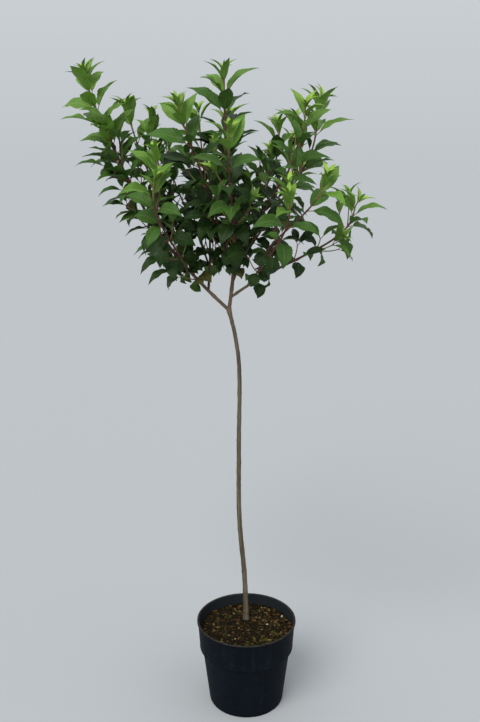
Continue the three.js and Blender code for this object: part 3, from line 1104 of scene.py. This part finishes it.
class Heap:
    """Triangles of many small shapes, gathered into one piece. A triangle's mark picks its
    finish. A vertex has a place on the flat leaf and a tone."""

    def __init__(self):
        self.points = []
        self.faces = []
        self.marks = []
        self.flats = []
        self.tones = []
        self.count = 0

    def add(self, points, faces, marks=0, flat=None, tone=0.5):
        self.points.append(points)
        self.faces.append(faces + self.count)
        self.marks.append(np.broadcast_to(marks, len(faces)))
        self.flats.append(np.zeros((len(points), 2)) if flat is None else flat)
        self.tones.append(np.full(len(points), tone))
        self.count += len(points)

    def piece(self, name, finishes, sharp=60):
        """The heap as one object in metres."""
        data = bpy.data.meshes.new(name)
        faces = np.vstack(self.faces)
        data.from_pydata((np.vstack(self.points) * MM).tolist(), [], faces.tolist())
        data.polygons.foreach_set("material_index", np.concatenate(self.marks).astype(np.int32))
        flat = data.uv_layers.new(name="blade")
        flat.uv.foreach_set("vector", np.vstack(self.flats)[faces.ravel()].ravel())
        tone = data.attributes.new("tone", "FLOAT", "POINT")
        tone.data.foreach_set("value", np.concatenate(self.tones))
        return finished(name, data, finishes, sharp)


# Leaves as they look

TIP, FRESH, GREEN, DEEP, DARK, BRONZE, UNDER_YOUNG, UNDER = range(8)
LEAF_SEED = 100

# How light a place in the crown is, by its height and by how far out it lies
CROWN_MIDDLE = np.array([-40, 20])
CROWN_FOOT = 1100
CROWN_HEIGHT = 530
CROWN_RADIUS = 300
LIGHT_BY_HEIGHT = 0.75
LIGHT_BY_REACH = 0.4
LIGHT_SCATTER = 0.12

# The tints are partly painted light: leaves high and outside the crown take lighter greens, and
# leaves deep inside
# take darker greens as painted shade, as well as for the darker green that real shade leaves have.
# The ages below which a leaf is young, and the light above which a leaf has the lighter tint
TIP_AGE = 0.28
FRESH_AGE = 0.7
TIP_LIGHT = 0.6
FRESH_LIGHT = 0.75
GREEN_LIGHT = 0.82
DEEP_LIGHT = 0.5
BRONZE_SHARE = 0.04

# A blade's form. Fold and breadth have one value for a young leaf, one for an old leaf in
# the light and one for an old leaf in the shade.
BLADE_THICKNESS = 0.55
FOLDS = (0.75, 0.46, 0.22)
FOLD_SCATTER = 0.12
FOLD_AT_TIP = 0.75
BREADTHS = (0.6, 0.88, 1)
BREADTH_SCATTER = 0.06
TIP_TAPER = 0.36
TAPER_FROM = 0.55
TOOTH_DEPTH = 0.07
OFF_STATION = 0.05
RECURVE = 0.08
RIPPLES = 2.5
RIPPLE_HEIGHTS = (0.06, 0.15)
ROLL_SCATTER = 0.25
TWIST_SCATTER = 0.3
SWEEP_SCATTER = 0.06
YOUNG_HANG = 0.3
OLD_HANGS = (0.03, 0.12)
HANG_EASE = 2.5
FRONT = np.array([0.0, -1.0, 0.0])
FACE_FRONT = 0.24

# The stalk, which runs on under the blade as its rib
RIB_REACH = 0.86
RIB_RADIUS = 1.05
RIB_TIP_RADIUS = 0.22
RIB_TAPER_END = 0.9
RIB_SINK = 0.7
RIB_SINK_RUN = 0.1
SMALL_RIB = 0.6
RED_PAST_STALK = 0.1


def light_at(point):
    """From 0 deep inside the foot of the crown to 1 at its top and outside."""
    height = (point[2] - CROWN_FOOT) / CROWN_HEIGHT
    away = np.linalg.norm(point[:2] - CROWN_MIDDLE) / CROWN_RADIUS
    return min(1, LIGHT_BY_HEIGHT * height + LIGHT_BY_REACH * away)


def tint_of(leaf, chance):
    """Which plain leaf colour a spray takes, by its age and the light at its place: partly painted
    light and shade.
    """
    light = light_at(leaf.root) + chance.scatter(LIGHT_SCATTER)
    if leaf.age < TIP_AGE:
        return TIP if light > TIP_LIGHT else FRESH
    if leaf.age < FRESH_AGE:
        return FRESH if light > FRESH_LIGHT else GREEN
    if light > GREEN_LIGHT:
        return GREEN
    if chance() < BRONZE_SHARE:
        return BRONZE
    return DEEP if light > DEEP_LIGHT else DARK


def at_age(values, leaf, age):
    young, light, shaded = values
    return mix(young, mix(light, shaded, leaf.shade), age)


class Blade:
    """How one leaf departs from the plain arch: waves, twist and a hanging point."""

    def __init__(self, leaf, chance):
        self.leaf = leaf
        self.fold = at_age(FOLDS, leaf, leaf.age) + chance.scatter(FOLD_SCATTER)
        self.roll = chance.scatter(ROLL_SCATTER) * leaf.age - FACE_FRONT * (leaf.across @ FRONT)
        self.twist = chance.scatter(TWIST_SCATTER) * leaf.age
        self.sweep = chance.scatter(SWEEP_SCATTER) * leaf.length
        self.hang = mix(YOUNG_HANG, chance.between(*OLD_HANGS), leaf.age) * leaf.length
        self.ripple = chance.between(*RIPPLE_HEIGHTS)
        self.phase = chance.between(0, 2 * math.pi)
        self.broad = at_age(BREADTHS, leaf, smooth(0, 1, leaf.age))
        self.broad += chance.scatter(BREADTH_SCATTER)

    def bend(self, run):
        """How far the rib is moved sideways and up, at a share of the blade's run."""
        return self.sweep * run ** 2, -self.hang * run ** HANG_EASE

    def half_width(self, run, side):
        """From the rib to the edge, wider at the teeth."""
        stations = run * BLADE_STATIONS
        tooth = (np.abs(side) > AT_EDGE) & (np.abs(stations - np.round(stations)) > OFF_STATION)
        taper = 1 - TIP_TAPER * smooth(TAPER_FROM, 1, run)
        half = self.leaf.width * self.broad * np.sin(math.pi * run ** OUTLINE_EASE) * taper
        return half * (1 + TOOTH_DEPTH * (tooth - 0.5)) + STALK_WIDTH * (1 - run)

    def points(self):
        run, side, face = blade_shape().points.T
        half = self.half_width(run, side)
        reach = np.abs(side)
        fold = self.fold * mix(1, FOLD_AT_TIP, run)
        sideways = side * half * np.cos(fold)
        height = half * (reach * np.sin(fold) - RECURVE * reach ** 2)
        height += self.ripple * half * np.sin(2 * math.pi * RIPPLES * run + self.phase) * side
        turn = self.roll + self.twist * run
        sideways, height = (sideways * np.cos(turn) - height * np.sin(turn),
                            sideways * np.sin(turn) + height * np.cos(turn))
        across, up = self.bend(run)
        share = STALK_SHARE + (1 - STALK_SHARE) * run
        return self.leaf.points(share, sideways + across,
                                height + up + face * BLADE_THICKNESS / 2)

    def rib_points(self, shape):
        """A stalk that runs on under the blade as its rib."""
        a, b, share = shape.points.T
        at = share * RIB_REACH
        run = np.maximum(0, (at - STALK_SHARE) / (1 - STALK_SHARE))
        thick = mix(SMALL_RIB, 1, self.leaf.length / LEAF_LENGTH)
        radius = mix(RIB_RADIUS, RIB_TIP_RADIUS, smooth(0, RIB_TAPER_END, share)) * thick
        across, up = self.bend(run)
        under = smooth(0, RIB_SINK_RUN, run) * radius * RIB_SINK
        return self.leaf.points(at, across + a * radius, up + b * radius - under)


def leaf_finishes():
    """The finishes in the order of the tints."""
    return [
        leaf_finish("leaf_tip", rgb(142, 176, 68), rgb(178, 202, 110), 0.5, 0.5),
        leaf_finish("leaf_fresh", rgb(106, 144, 52), rgb(146, 174, 88), 0.5, 0.5),
        leaf_finish("leaf_green", rgb(86, 122, 42), rgb(124, 150, 76), 0.48, 0.5),
        leaf_finish("leaf_deep", rgb(57, 91, 28), rgb(94, 122, 56), 0.48, 0.5),
        leaf_finish("leaf_dark", rgb(30, 54, 12), rgb(60, 82, 34), 0.48, 0.5),
        leaf_finish("leaf_bronze", rgb(80, 80, 36), rgb(112, 106, 58), 0.52, 0.5),
        leaf_finish("leaf_under_young", rgb(106, 150, 54), rgb(142, 172, 84), 0.62, 0.6),
        leaf_finish("leaf_under", rgb(72, 108, 42), rgb(106, 132, 68), 0.64, 0.6),
    ]


def rib_marks(tube, young):
    """1, for red, on an old leaf's stalk, and 0, for green, where it runs on as the rib."""
    run = tube.points[tube.faces, 2].mean(1) * RIB_REACH
    return np.where(young | (run > STALK_SHARE + RED_PAST_STALK), 0, 1)


def make_leaves(masses, nodes):
    """The blades of each half of the masses in a piece, and all stalks and ribs in another."""
    shape = blade_shape()
    flat = np.column_stack([shape.points[:, 0], shape.points[:, 1] / 2 + 0.5])
    tube = tube_shape(sides=5, rings=7)
    halves = [Heap(), Heap()]
    stalks = Heap()
    for index, mass in enumerate(masses):
        blades = halves[index * len(halves) // len(masses)]
        chance = Chance(LEAF_SEED + index)
        sprays = {}
        for leaf in mass.leaves:
            tint = sprays.setdefault(leaf.spray, tint_of(leaf, chance))
            young = tint in (TIP, FRESH)
            blade = Blade(leaf, chance)
            # The paler underside goes with the lighter tints, so it follows the same painted
            # light.
            under = UNDER_YOUNG if young or tint == GREEN else UNDER
            marks = np.where(shape.marks == 1, under, tint)
            blades.add(blade.points(), shape.faces, marks, flat, chance())
            stalks.add(blade.rib_points(tube), tube.faces, rib_marks(tube, young))
    finishes = leaf_finishes()
    for name, blades in zip(("leaf_blades_first", "leaf_blades_second"), halves):
        stand_for(blades.piece(name, finishes, sharp=50), nodes)
    piece = stalks.piece("leaf_stalks", [
        stem_finish("stalk_green", rgb(104, 124, 58), rgb(112, 104, 58), rgb(140, 146, 90), 0.55),
        stem_finish("stalk_red", rgb(104, 60, 46), rgb(112, 92, 56), rgb(136, 108, 80), 0.55),
    ])
    stand_for(piece, nodes)


# Trunk, boughs and stems

TRUNK_SIDES = 28
TRUNK_RING_SPACING = 2
BOUGH_SIDES = 12
STEM_SIDES = 9
TWIG_SIDES = 6
RING_SPACING = 3

# Swellings where leaves sit on a stem, and where they once sat on the trunk
NODE_SWELL = 0.2
NODE_WIDTH = 4
SCAR_SWELL = 0.09
SCAR_WIDTH = 3.5
SCAR_FROM = 30
SCAR_GAP = 62

# Ridges in the bark: how they run on lengthwise, their size, their seed and their depth
TRUNK_RIDGES = ((0.08, 1.9, 5, 0.4), (0.4, 7, 6, 0.5))
BOUGH_RIDGES = ((0.2, 1.6, 3, 0.28),)

# The trunk's ends: a foot that is sunk in the medium, and a dome under the knuckle
TRUNK_SUNK = 5
TRUNK_DOME = 4
DOME_CLOSING = 0.9
KNUCKLE_BALL = np.array([6.3, 6.3, 9])


def ring_points(line, share, radius, a, b):
    along, lift, side = line.frame(share)
    return line.point(share) + side * (a * radius)[:, None] - lift * (b * radius)[:, None]


def shoot_radius(shoot, share):
    return mix(SHOOT_TIP_RADIUS, shoot.girth, np.maximum(0, 1 - share) ** SHOOT_TAPER)


def swelling(down, joints, rise=NODE_SWELL, width=NODE_WIDTH):
    """How much thicker a limb is near its joints."""
    near = np.abs(down[:, None] - np.array(joints)[None]).min(1)
    return 1 + rise * np.exp(-(near / width) ** 2)


def ridged(points, centre, layers):
    """Points moved out from the centre line, and in, by layers of ridges."""
    relief = sum(rough(points * (1, 1, lengthwise), size, seed) * depth
                 for lengthwise, size, seed, depth in layers)
    return points + unit(points - centre) * relief[:, None]


def joints_of(mass, line):
    """How far down from the tip each pair or whorl sits, with the bare wood's old ones."""
    joints = [whorl.down for whorl in mass.whorls if whorl.line is line]
    while joints[-1] < line.length:
        joints.append(joints[-1] + OLD_GAP)
    return joints


def limb_points(line, start, end, radius_at, joints, shape):
    a, b, share = shape.points.T
    at = mix(start, end, share)
    radius = radius_at(at) * swelling(line.length * (1 - at), joints)
    return ring_points(line, at, radius, a, b)


def rings_for(length, spacing=RING_SPACING):
    return max(2, round(length / spacing))


def make_boughs(masses):
    heap = Heap()
    for mass in masses:
        shoot, line = mass.shoot, mass.line
        shape = tube_shape(BOUGH_SIDES, rings_for(line.length * shoot.bare))
        points = limb_points(line, 0, shoot.bare, functools.partial(shoot_radius, shoot),
                             joints_of(mass, line), shape)
        centre = line.point(shoot.bare * shape.points[:, 2])
        heap.add(ridged(points, centre, BOUGH_RIDGES), shape.faces)
    piece = heap.piece("bough_bark", [
        stem_finish("bough_brown", BOUGH_BROWN, BOUGH_GREY, rgb(144, 128, 104), 0.72),
    ])
    stand_for(piece, [f"bough_{mass.shoot.name}" for mass in masses])


YOUNG_STEM, RED_STEM, BROWN_STEM = range(3)
RED_FROM = 55
BROWN_FROM = 300


def stem_marks(line, start, shape):
    """Green at the tip, then red, then brown, for each triangle of a stem."""
    share = shape.points[shape.faces, 2].mean(1)
    down = line.length * (1 - mix(start, 1, share))
    return np.select([down < RED_FROM, down < BROWN_FROM], [YOUNG_STEM, RED_STEM], BROWN_STEM)


def add_stem(heap, mass, line, start, radius_at, sides):
    """A stem or twig of a mass, from a share of its run to its tip."""
    shape = tube_shape(sides, rings_for(line.length * (1 - start)))
    points = limb_points(line, start, 1, radius_at, joints_of(mass, line), shape)
    heap.add(points, shape.faces, stem_marks(line, start, shape))


BUD_SIZE = np.array([1.5, 1.5, 2.5])
BUD_PINCH = 0.5
BUD_OUT = 2.6
BUD_UP = 1.6
BUD_LEAN = 0.7


def add_buds(heap, mass):
    """A bud in the angle above each old leaf, narrower towards its point."""
    shape = ball_shape(seed=1, fineness=2)
    pinch = 1 - BUD_PINCH * smooth(0, 1, shape.points[:, 2:])
    bud = shape.points * np.hstack([pinch, pinch, np.ones_like(pinch)]) * BUD_SIZE
    for leaf in mass.leaves:
        if leaf.age < 1:
            continue
        root = leaf.root + leaf.along * BUD_OUT + leaf.above * BUD_UP
        axis = Vector(unit(leaf.along * BUD_LEAN + leaf.above))
        turn = np.array(axis.to_track_quat("Z", "Y").to_matrix())
        heap.add(bud @ turn.T + root, shape.faces, RED_STEM)


def make_stems(masses, nodes):
    """The stems that run on from the boughs, and their twigs and buds."""
    heap = Heap()
    twig_radius = functools.partial(mix, TWIG_RADIUS, TWIG_TIP_RADIUS)
    for mass in masses:
        add_stem(heap, mass, mass.line, mass.shoot.bare,
                 functools.partial(shoot_radius, mass.shoot), STEM_SIDES)
        for twig in mass.twigs:
            add_stem(heap, mass, twig, 0, twig_radius, TWIG_SIDES)
        add_buds(heap, mass)
    piece = heap.piece("stems", [
        stem_finish("stem_young", rgb(112, 116, 58), rgb(122, 80, 56), rgb(154, 144, 100), 0.55),
        stem_finish("stem_red", rgb(80, 46, 38), rgb(94, 62, 48), rgb(132, 102, 80), 0.6),
        stem_finish("stem_brown", rgb(62, 44, 36), rgb(80, 64, 50), rgb(122, 102, 82), 0.68),
    ])
    stand_for(piece, nodes)


def trunk_radius(line, share):
    height = share * line.length
    down = line.length - height
    return (mix(TRUNK_FOOT_RADIUS, TRUNK_TOP_RADIUS, share)
            + FLARE_RADIUS * np.exp(-height / FLARE_LENGTH)
            + KNUCKLE_RADIUS * np.exp(-(down / KNUCKLE_LENGTH) ** 2))


def make_trunk(line):
    """The clear stem: old leaf rings, shallow ridges and a foot sunk in the medium."""
    shape = tube_shape(TRUNK_SIDES, rings_for(line.length, TRUNK_RING_SPACING))
    a, b, share = shape.points.T
    down = (1 - share) * line.length
    scars = np.arange(SCAR_FROM, line.length, SCAR_GAP)
    radius = trunk_radius(line, share) * swelling(down, scars, SCAR_SWELL, SCAR_WIDTH)
    radius *= np.sqrt(1 - DOME_CLOSING * np.maximum(0, 1 - down / TRUNK_DOME) ** 2)
    points = ridged(ring_points(line, share, radius, a, b), line.point(share), TRUNK_RIDGES)
    points[:, 2] -= TRUNK_SUNK * (share == share.min())
    heap = Heap()
    heap.add(points, shape.faces)
    knuckle = ball_shape(seed=3, fineness=4)
    heap.add(knuckle.points * KNUCKLE_BALL + line.point(1.0), knuckle.faces)
    stand_for(heap.piece("trunk_bark", [trunk_finish()]), ["trunk"])


# Pot

# Corners of the inner wall, each a radius and a height
INNER_LIP = (COLLAR_TOP_RADIUS - POT_WALL, POT_HEIGHT)
INNER_COLLAR = (COLLAR_RADIUS - POT_WALL, SHOULDER_HEIGHT + SHOULDER_RISE + POT_WALL)
INNER_SHOULDER = (SHOULDER_RADIUS - POT_WALL, SHOULDER_HEIGHT + POT_WALL)
INNER_FOOT = FOOT_RADIUS - POT_WALL


def rounded(corners, radius, steps=4, most=0.45):
    """An outline with each inner corner rounded off. A corner takes up no more of a side than
    the share "most"."""
    corners = [np.array(corner, float) for corner in corners]
    points = [corners[0]]
    for before, corner, after in zip(corners, corners[1:], corners[2:]):
        reach = min(radius, *(np.linalg.norm(end - corner) * most for end in (before, after)))
        start = corner + unit(before - corner) * reach
        end = corner + unit(after - corner) * reach
        for t in np.linspace(0, 1, steps):
            points.append(mix(mix(start, corner, t), mix(corner, end, t), t))
    return points + [corners[-1]]


def spun(outline, steps):
    """A bmesh of an outline of radii and heights, turned round the Z axis."""
    mesh = bmesh.new()
    vertices = [mesh.verts.new((radius * MM, 0, height * MM)) for radius, height in outline]
    edges = [mesh.edges.new(pair) for pair in zip(vertices, vertices[1:])]
    bmesh.ops.spin(mesh, geom=vertices + edges, cent=(0, 0, 0), axis=(0, 0, 1), dvec=(0, 0, 0),
                   angle=2 * math.pi, steps=steps, use_merge=True)
    bmesh.ops.remove_doubles(mesh, verts=mesh.verts, dist=MERGE_DISTANCE * MM)
    bmesh.ops.recalc_face_normals(mesh, faces=mesh.faces)
    return mesh


def pot_outline():
    """From the middle of the underside up the outside, and down the inside to the floor."""
    ring = FOOT_RADIUS - FOOT_RING
    lip_foot = POT_HEIGHT - LIP_DEPTH
    outside = [
        (0, UNDERSIDE),
        (ring - FOOT_SLOPE, UNDERSIDE),
        (ring, 0),
        (FOOT_RADIUS - FOOT_BEVEL, 0),
        (FOOT_RADIUS, FOOT_BEVEL_RISE),
        (SHOULDER_RADIUS, SHOULDER_HEIGHT),
        (COLLAR_RADIUS, SHOULDER_HEIGHT + SHOULDER_RISE),
        (COLLAR_RADIUS + BEAD, SHOULDER_HEIGHT + BEAD_RISE),
        (COLLAR_RADIUS + BEAD_END, SHOULDER_HEIGHT + BEAD_END_RISE),
        (COLLAR_TOP_RADIUS, lip_foot),
        (LIP_RADIUS, lip_foot + LIP_SLOPE),
        (LIP_RADIUS, POT_HEIGHT),
    ]
    inside = [INNER_LIP, INNER_COLLAR, INNER_SHOULDER, (INNER_FOOT, POT_FLOOR), (0, POT_FLOOR)]
    return rounded(outside + inside, POT_CORNER)


def make_pot():
    data = mesh_from("pot_body", spun(pot_outline(), POT_STEPS))
    piece = finished("pot_body", data, [pot_finish()], sharp=40)
    drill(piece)
    stand_for(piece, ["pot"])


def drill(piece):
    """Drain holes through the floor."""
    shape = bmesh.new()
    for i in range(DRAIN_HOLES):
        angle = 2 * math.pi * (i + 0.5) / DRAIN_HOLES
        place = Matrix.Translation((DRAIN_RING_RADIUS * MM * math.cos(angle),
                                    DRAIN_RING_RADIUS * MM * math.sin(angle), 0))
        bmesh.ops.create_cone(shape, cap_ends=True, segments=DRILL_SIDES,
                              radius1=DRAIN_HOLE_RADIUS * MM, radius2=DRAIN_HOLE_RADIUS * MM,
                              depth=DRILL_LENGTH * MM, matrix=place)
    bit = placed("drill", mesh_from("drill", shape))
    cut = piece.modifiers.new("drain_holes", "BOOLEAN")
    cut.object = bit
    cut.solver = "EXACT"
    evaluated = piece.evaluated_get(bpy.context.evaluated_depsgraph_get())
    piece.data = bpy.data.meshes.new_from_object(evaluated)
    piece.modifiers.clear()
    bpy.data.objects.remove(bit)


# Growing medium

SOIL_CLIMB = (SOIL_TOP - INNER_COLLAR[1]) / (POT_HEIGHT - INNER_COLLAR[1])
SOIL_RADIUS = mix(COLLAR_RADIUS, COLLAR_TOP_RADIUS, SOIL_CLIMB) - POT_WALL - SOIL_GAP


def soil_height(places):
    """Height of the medium's top at places given by X and Y."""
    away = np.linalg.norm(places, axis=1)
    from_stem = np.linalg.norm(places - TRUNK_BENDS[0, :2], axis=1)
    flat = np.column_stack([places, np.zeros(len(places))])
    waves = sum(rough(flat, size, seed) * height for size, seed, height in SOIL_WAVES)
    mound = MOUND_HEIGHT * (1 - smooth(0, MOUND_RADIUS, from_stem))
    return SOIL_TOP + SOIL_RISE * (1 - away / SOIL_RADIUS) + mound + waves


def make_soil():
    top = [(radius, SOIL_TOP) for radius in np.linspace(0, SOIL_RADIUS, SOIL_RINGS)]
    wall = [INNER_COLLAR, INNER_SHOULDER, (INNER_FOOT, SOIL_FOOT)]
    side = [(radius - SOIL_GAP, height) for radius, height in wall]
    shape = spun([*top, *side, (0, SOIL_FOOT)], SOIL_STEPS)
    surface = [vertex for vertex in shape.verts if vertex.co.z > (SOIL_TOP - 1) * MM]
    heights = soil_height(np.array([vertex.co.xy for vertex in surface]) / MM)
    for vertex, height in zip(surface, heights):
        vertex.co.z = height * MM
    piece = finished("medium", mesh_from("medium", shape), [soil_finish()], sharp=60)
    stand_for(piece, ["soil"])


def random_place(chance, radius):
    away = radius * math.sqrt(chance())
    angle = chance.between(0, 2 * math.pi)
    return np.array([away * math.cos(angle), away * math.sin(angle)])


def on_soil(place, rise):
    return np.append(place, soil_height(place[None])[0] + rise)


def strew(heap, shape, size, tilt, heading, place, mark=0):
    """One copy of a template at a size, tipped, turned and set in place."""
    turn = Matrix.Rotation(heading, 3, "Z") @ Matrix.Rotation(tilt, 3, "X")
    heap.add((shape.points * size) @ np.array(turn).T + place, shape.faces, mark)


# Chips: their sizes, how they lie, and for each tone the draw below which a chip has it. On
# the right, past WARM_SIDE, a middling draw is raised, so that more chips are rust and tan.
CHIPS = 2700
CHIP_SEED = 11
CHIP_SHAPES = 6
CHIP_LENGTHS = (2.6, 12)
CHIP_LENGTH_EASE = 2.2
CHIP_WIDTHS = (0.3, 0.75)
CHIP_THICKNESS = 0.22
CHIP_LEAST_THICKNESS = 0.4
CHIP_TILT = 0.7
CHIP_RISE = 0.35
CHIP_FROM_WALL = 0.55
CHIP_DARK, CHIP_BROWN, CHIP_RUST, CHIP_TAN, CHIP_PALE = range(5)
CHIP_TONES = ((0.5, CHIP_DARK), (0.84, CHIP_BROWN), (0.955, CHIP_RUST), (0.998, CHIP_TAN),
              (1, CHIP_PALE))
WARM_SIDE = 30
WARMER = 0.1
WARMER_DRAWS = (0.3, 0.9)
LONGEST_PALE_CHIP = 5

# Single pale chips: X, Y and length
PALE_CHIPS = ((98, 54, 9), (56, 12, 6), (-30, -58, 4), (44, 98, 4))
PALE_CHIP_FORM = np.array([1, 0.6, 0.3])
PALE_CHIP_RISE = 1.2
PALE_CHIP_TILT = 0.3
PALE_CHIP_HEADINGS = (0, 3)


def chip_tone(chance, place, length):
    pick = chance()
    if place[0] > WARM_SIDE and WARMER_DRAWS[0] < pick < WARMER_DRAWS[1]:
        pick += WARMER
    tone = next(mark for limit, mark in CHIP_TONES if pick < limit)
    return min(tone, CHIP_TAN) if length > LONGEST_PALE_CHIP else tone


def make_chips():
    """Bark and wood chips strewn over the medium, with none inside the stem."""
    chance = Chance(CHIP_SEED)
    heap = Heap()
    for i in range(CHIPS):
        length = mix(*CHIP_LENGTHS, chance() ** CHIP_LENGTH_EASE)
        size = np.array([length, length * chance.between(*CHIP_WIDTHS),
                         length * CHIP_THICKNESS + CHIP_LEAST_THICKNESS])
        place = random_place(chance, SOIL_RADIUS - length * CHIP_FROM_WALL)
        tone = chip_tone(chance, place, length)
        tilt, heading = chance.scatter(CHIP_TILT), chance.between(0, 2 * math.pi)
        if np.linalg.norm(place - TRUNK_BENDS[0, :2]) > TRUNK_FOOT_RADIUS + FLARE_RADIUS:
            strew(heap, chip_shape(i % CHIP_SHAPES), size, tilt, heading,
                  on_soil(place, size[2] * CHIP_RISE), tone)
    for x, y, length in PALE_CHIPS:
        strew(heap, chip_shape(2), length * PALE_CHIP_FORM, PALE_CHIP_TILT,
              chance.between(*PALE_CHIP_HEADINGS), on_soil(np.array([x, y]), PALE_CHIP_RISE),
              CHIP_PALE)
    piece = heap.piece("bark_chips", [
        chip_finish("chip_dark", rgb(12, 8, 2), rgb(25, 18, 6)),
        chip_finish("chip_brown", rgb(26, 18, 5), rgb(50, 37, 13)),
        chip_finish("chip_rust", rgb(52, 33, 13), rgb(86, 58, 27)),
        chip_finish("chip_tan", rgb(76, 60, 30), rgb(108, 90, 52)),
        chip_finish("chip_pale", rgb(150, 142, 122), rgb(186, 178, 160)),
    ], sharp=30)
    stand_for(piece, ["soil"])


# Patches of moss: X, Y and radius. Each has cushions, and a cushion has short shoots.
MOSS_PATCHES = ((-61, 52, 20), (34, 64, 22), (-27, 78, 16), (-78, 14, 18), (27, -46, 20),
                (-44, -44, 18), (78, -30, 14), (-8, -88, 16), (14, -74, 20), (48, -64, 18))
MOSS_SEED = 12
CUSHIONS = 13
CUSHION_RADII = (2.2, 6)
CUSHION_BREADTHS = (0.7, 1)
CUSHION_HEIGHT = 0.34
MOSS_SUNK = 0.4
MOSS_SHOOTS_BY_RADIUS = 5
MOSS_SHOOT_REACH = 0.9
MOSS_SHOOT_RADIUS = 0.35
MOSS_SHOOT_HEIGHTS = (1.2, 2.6)
MOSS_SHOOT_TILT = 0.7
MOSS_HEADINGS = (0, 6)


def add_cushion(heap, chance, place, radius):
    """A low cushion of moss with shoots that stand on it."""
    centre = on_soil(place, -MOSS_SUNK)
    size = np.array([radius, radius * chance.between(*CUSHION_BREADTHS),
                     radius * CUSHION_HEIGHT])
    strew(heap, ball_shape(seed=2, fineness=2), size, 0, chance.between(*MOSS_HEADINGS), centre)
    for i in range(int(radius * MOSS_SHOOTS_BY_RADIUS)):
        near = random_place(chance, radius * MOSS_SHOOT_REACH)
        rise = size[2] * math.sqrt(1 - (np.linalg.norm(near) / radius) ** 2)
        tall = chance.between(*MOSS_SHOOT_HEIGHTS)
        strew(heap, spike_shape(), np.array([MOSS_SHOOT_RADIUS, MOSS_SHOOT_RADIUS, tall]),
              chance.scatter(MOSS_SHOOT_TILT), chance.between(*MOSS_HEADINGS),
              centre + [*near, rise - MOSS_SUNK])


def make_moss():
    chance = Chance(MOSS_SEED)
    heap = Heap()
    for x, y, spread in MOSS_PATCHES:
        for i in range(CUSHIONS):
            place = np.array([x, y]) + random_place(chance, spread)
            radius = chance.between(*CUSHION_RADII)
            if np.linalg.norm(place) <= SOIL_RADIUS - radius:
                add_cushion(heap, chance, place, radius)
    stand_for(heap.piece("moss", [moss_finish()], sharp=80), ["soil"])


# Studio, in metres. A lamp has a place that it shines from, a strength and a spread in degrees.

BACKDROP = rgb(192, 197, 201)
OVERHEAD = 1.6
FLOOR_RADIUS = 400
FLOOR_SIDES = 96
LAMPS = {"key": ((-1.4, -2.2, 2.6), 2.3, 40), "fill": ((2.4, -1.4, 2), 0.3, 60)}


def floor_colour():
    """The floor's own colour, with which it looks like the backdrop under all the light."""
    lamps = sum(strength * Vector(place).normalized().z / math.pi
                for place, strength, spread in LAMPS.values())
    sky = mix(1, OVERHEAD, 2 / 3)
    return [part / (part * sky + lamps) for part in BACKDROP[:3]] + [1]


def make_floor():
    shape = bmesh.new()
    bmesh.ops.create_circle(shape, cap_ends=True, segments=FLOOR_SIDES, radius=FLOOR_RADIUS)
    floor = placed("floor", mesh_from("floor", shape))
    floor.data.materials.append(floor_finish())
    floor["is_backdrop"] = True


def make_world():
    """Soft light from all round that grows brighter upwards."""
    world = bpy.data.worlds.new("studio")
    nodes = Nodes(world)
    direction = nodes.node("TexCoord", output="Generated")
    height = nodes.node("SeparateXYZ", {}, {0: direction}, "Z")
    climb = nodes.node("MapRange", {}, {"Value": height, "To Min": 1, "To Max": OVERHEAD})
    light = nodes.node("Background", {}, {"Color": BACKDROP, "Strength": climb})
    nodes.node("OutputWorld", {}, {"Surface": light})
    bpy.context.scene.world = world


def soft_light(name, place, strength, spread):
    """A wide, even light from the direction of a place, to the origin."""
    light = bpy.data.lights.new(name, "SUN")
    light.energy = strength
    light.angle = math.radians(spread)
    lamp = placed(name, light)
    lamp.location = place
    lamp.rotation_euler = (-Vector(place)).to_track_quat("-Z", "Y").to_euler()


def make_camera():
    data = bpy.data.cameras.new("camera")
    data.sensor_width = SENSOR
    data.lens = SENSOR * FOCAL_PIXELS / PICTURE_HEIGHT
    camera = placed("camera", data)
    camera.location = CAMERA_PLACE
    camera.rotation_euler = (math.radians(90 - CAMERA_PITCH), 0, 0)
    bpy.context.scene.camera = camera


def make_studio():
    make_floor()
    make_world()
    make_camera()
    for name, (place, strength, spread) in LAMPS.items():
        soft_light(name, place, strength, spread)
    bpy.context.scene.view_settings.view_transform = "Standard"


def write_sizes(first, last):
    corners = {"cad": first, "visual": last}
    {name: [list(corner) for corner in box] for name, box in corners.items()}


trunk, masses = grow_plant()
leaf_nodes = [f"leaves_{shoot.name}" for shoot in SHOOTS]
make_pot()
make_soil()
make_chips()
make_moss()
make_trunk(trunk)
make_boughs(masses)
make_stems(masses, leaf_nodes)
make_leaves(masses, leaf_nodes)
make_studio()
write_sizes(cad_box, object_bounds())
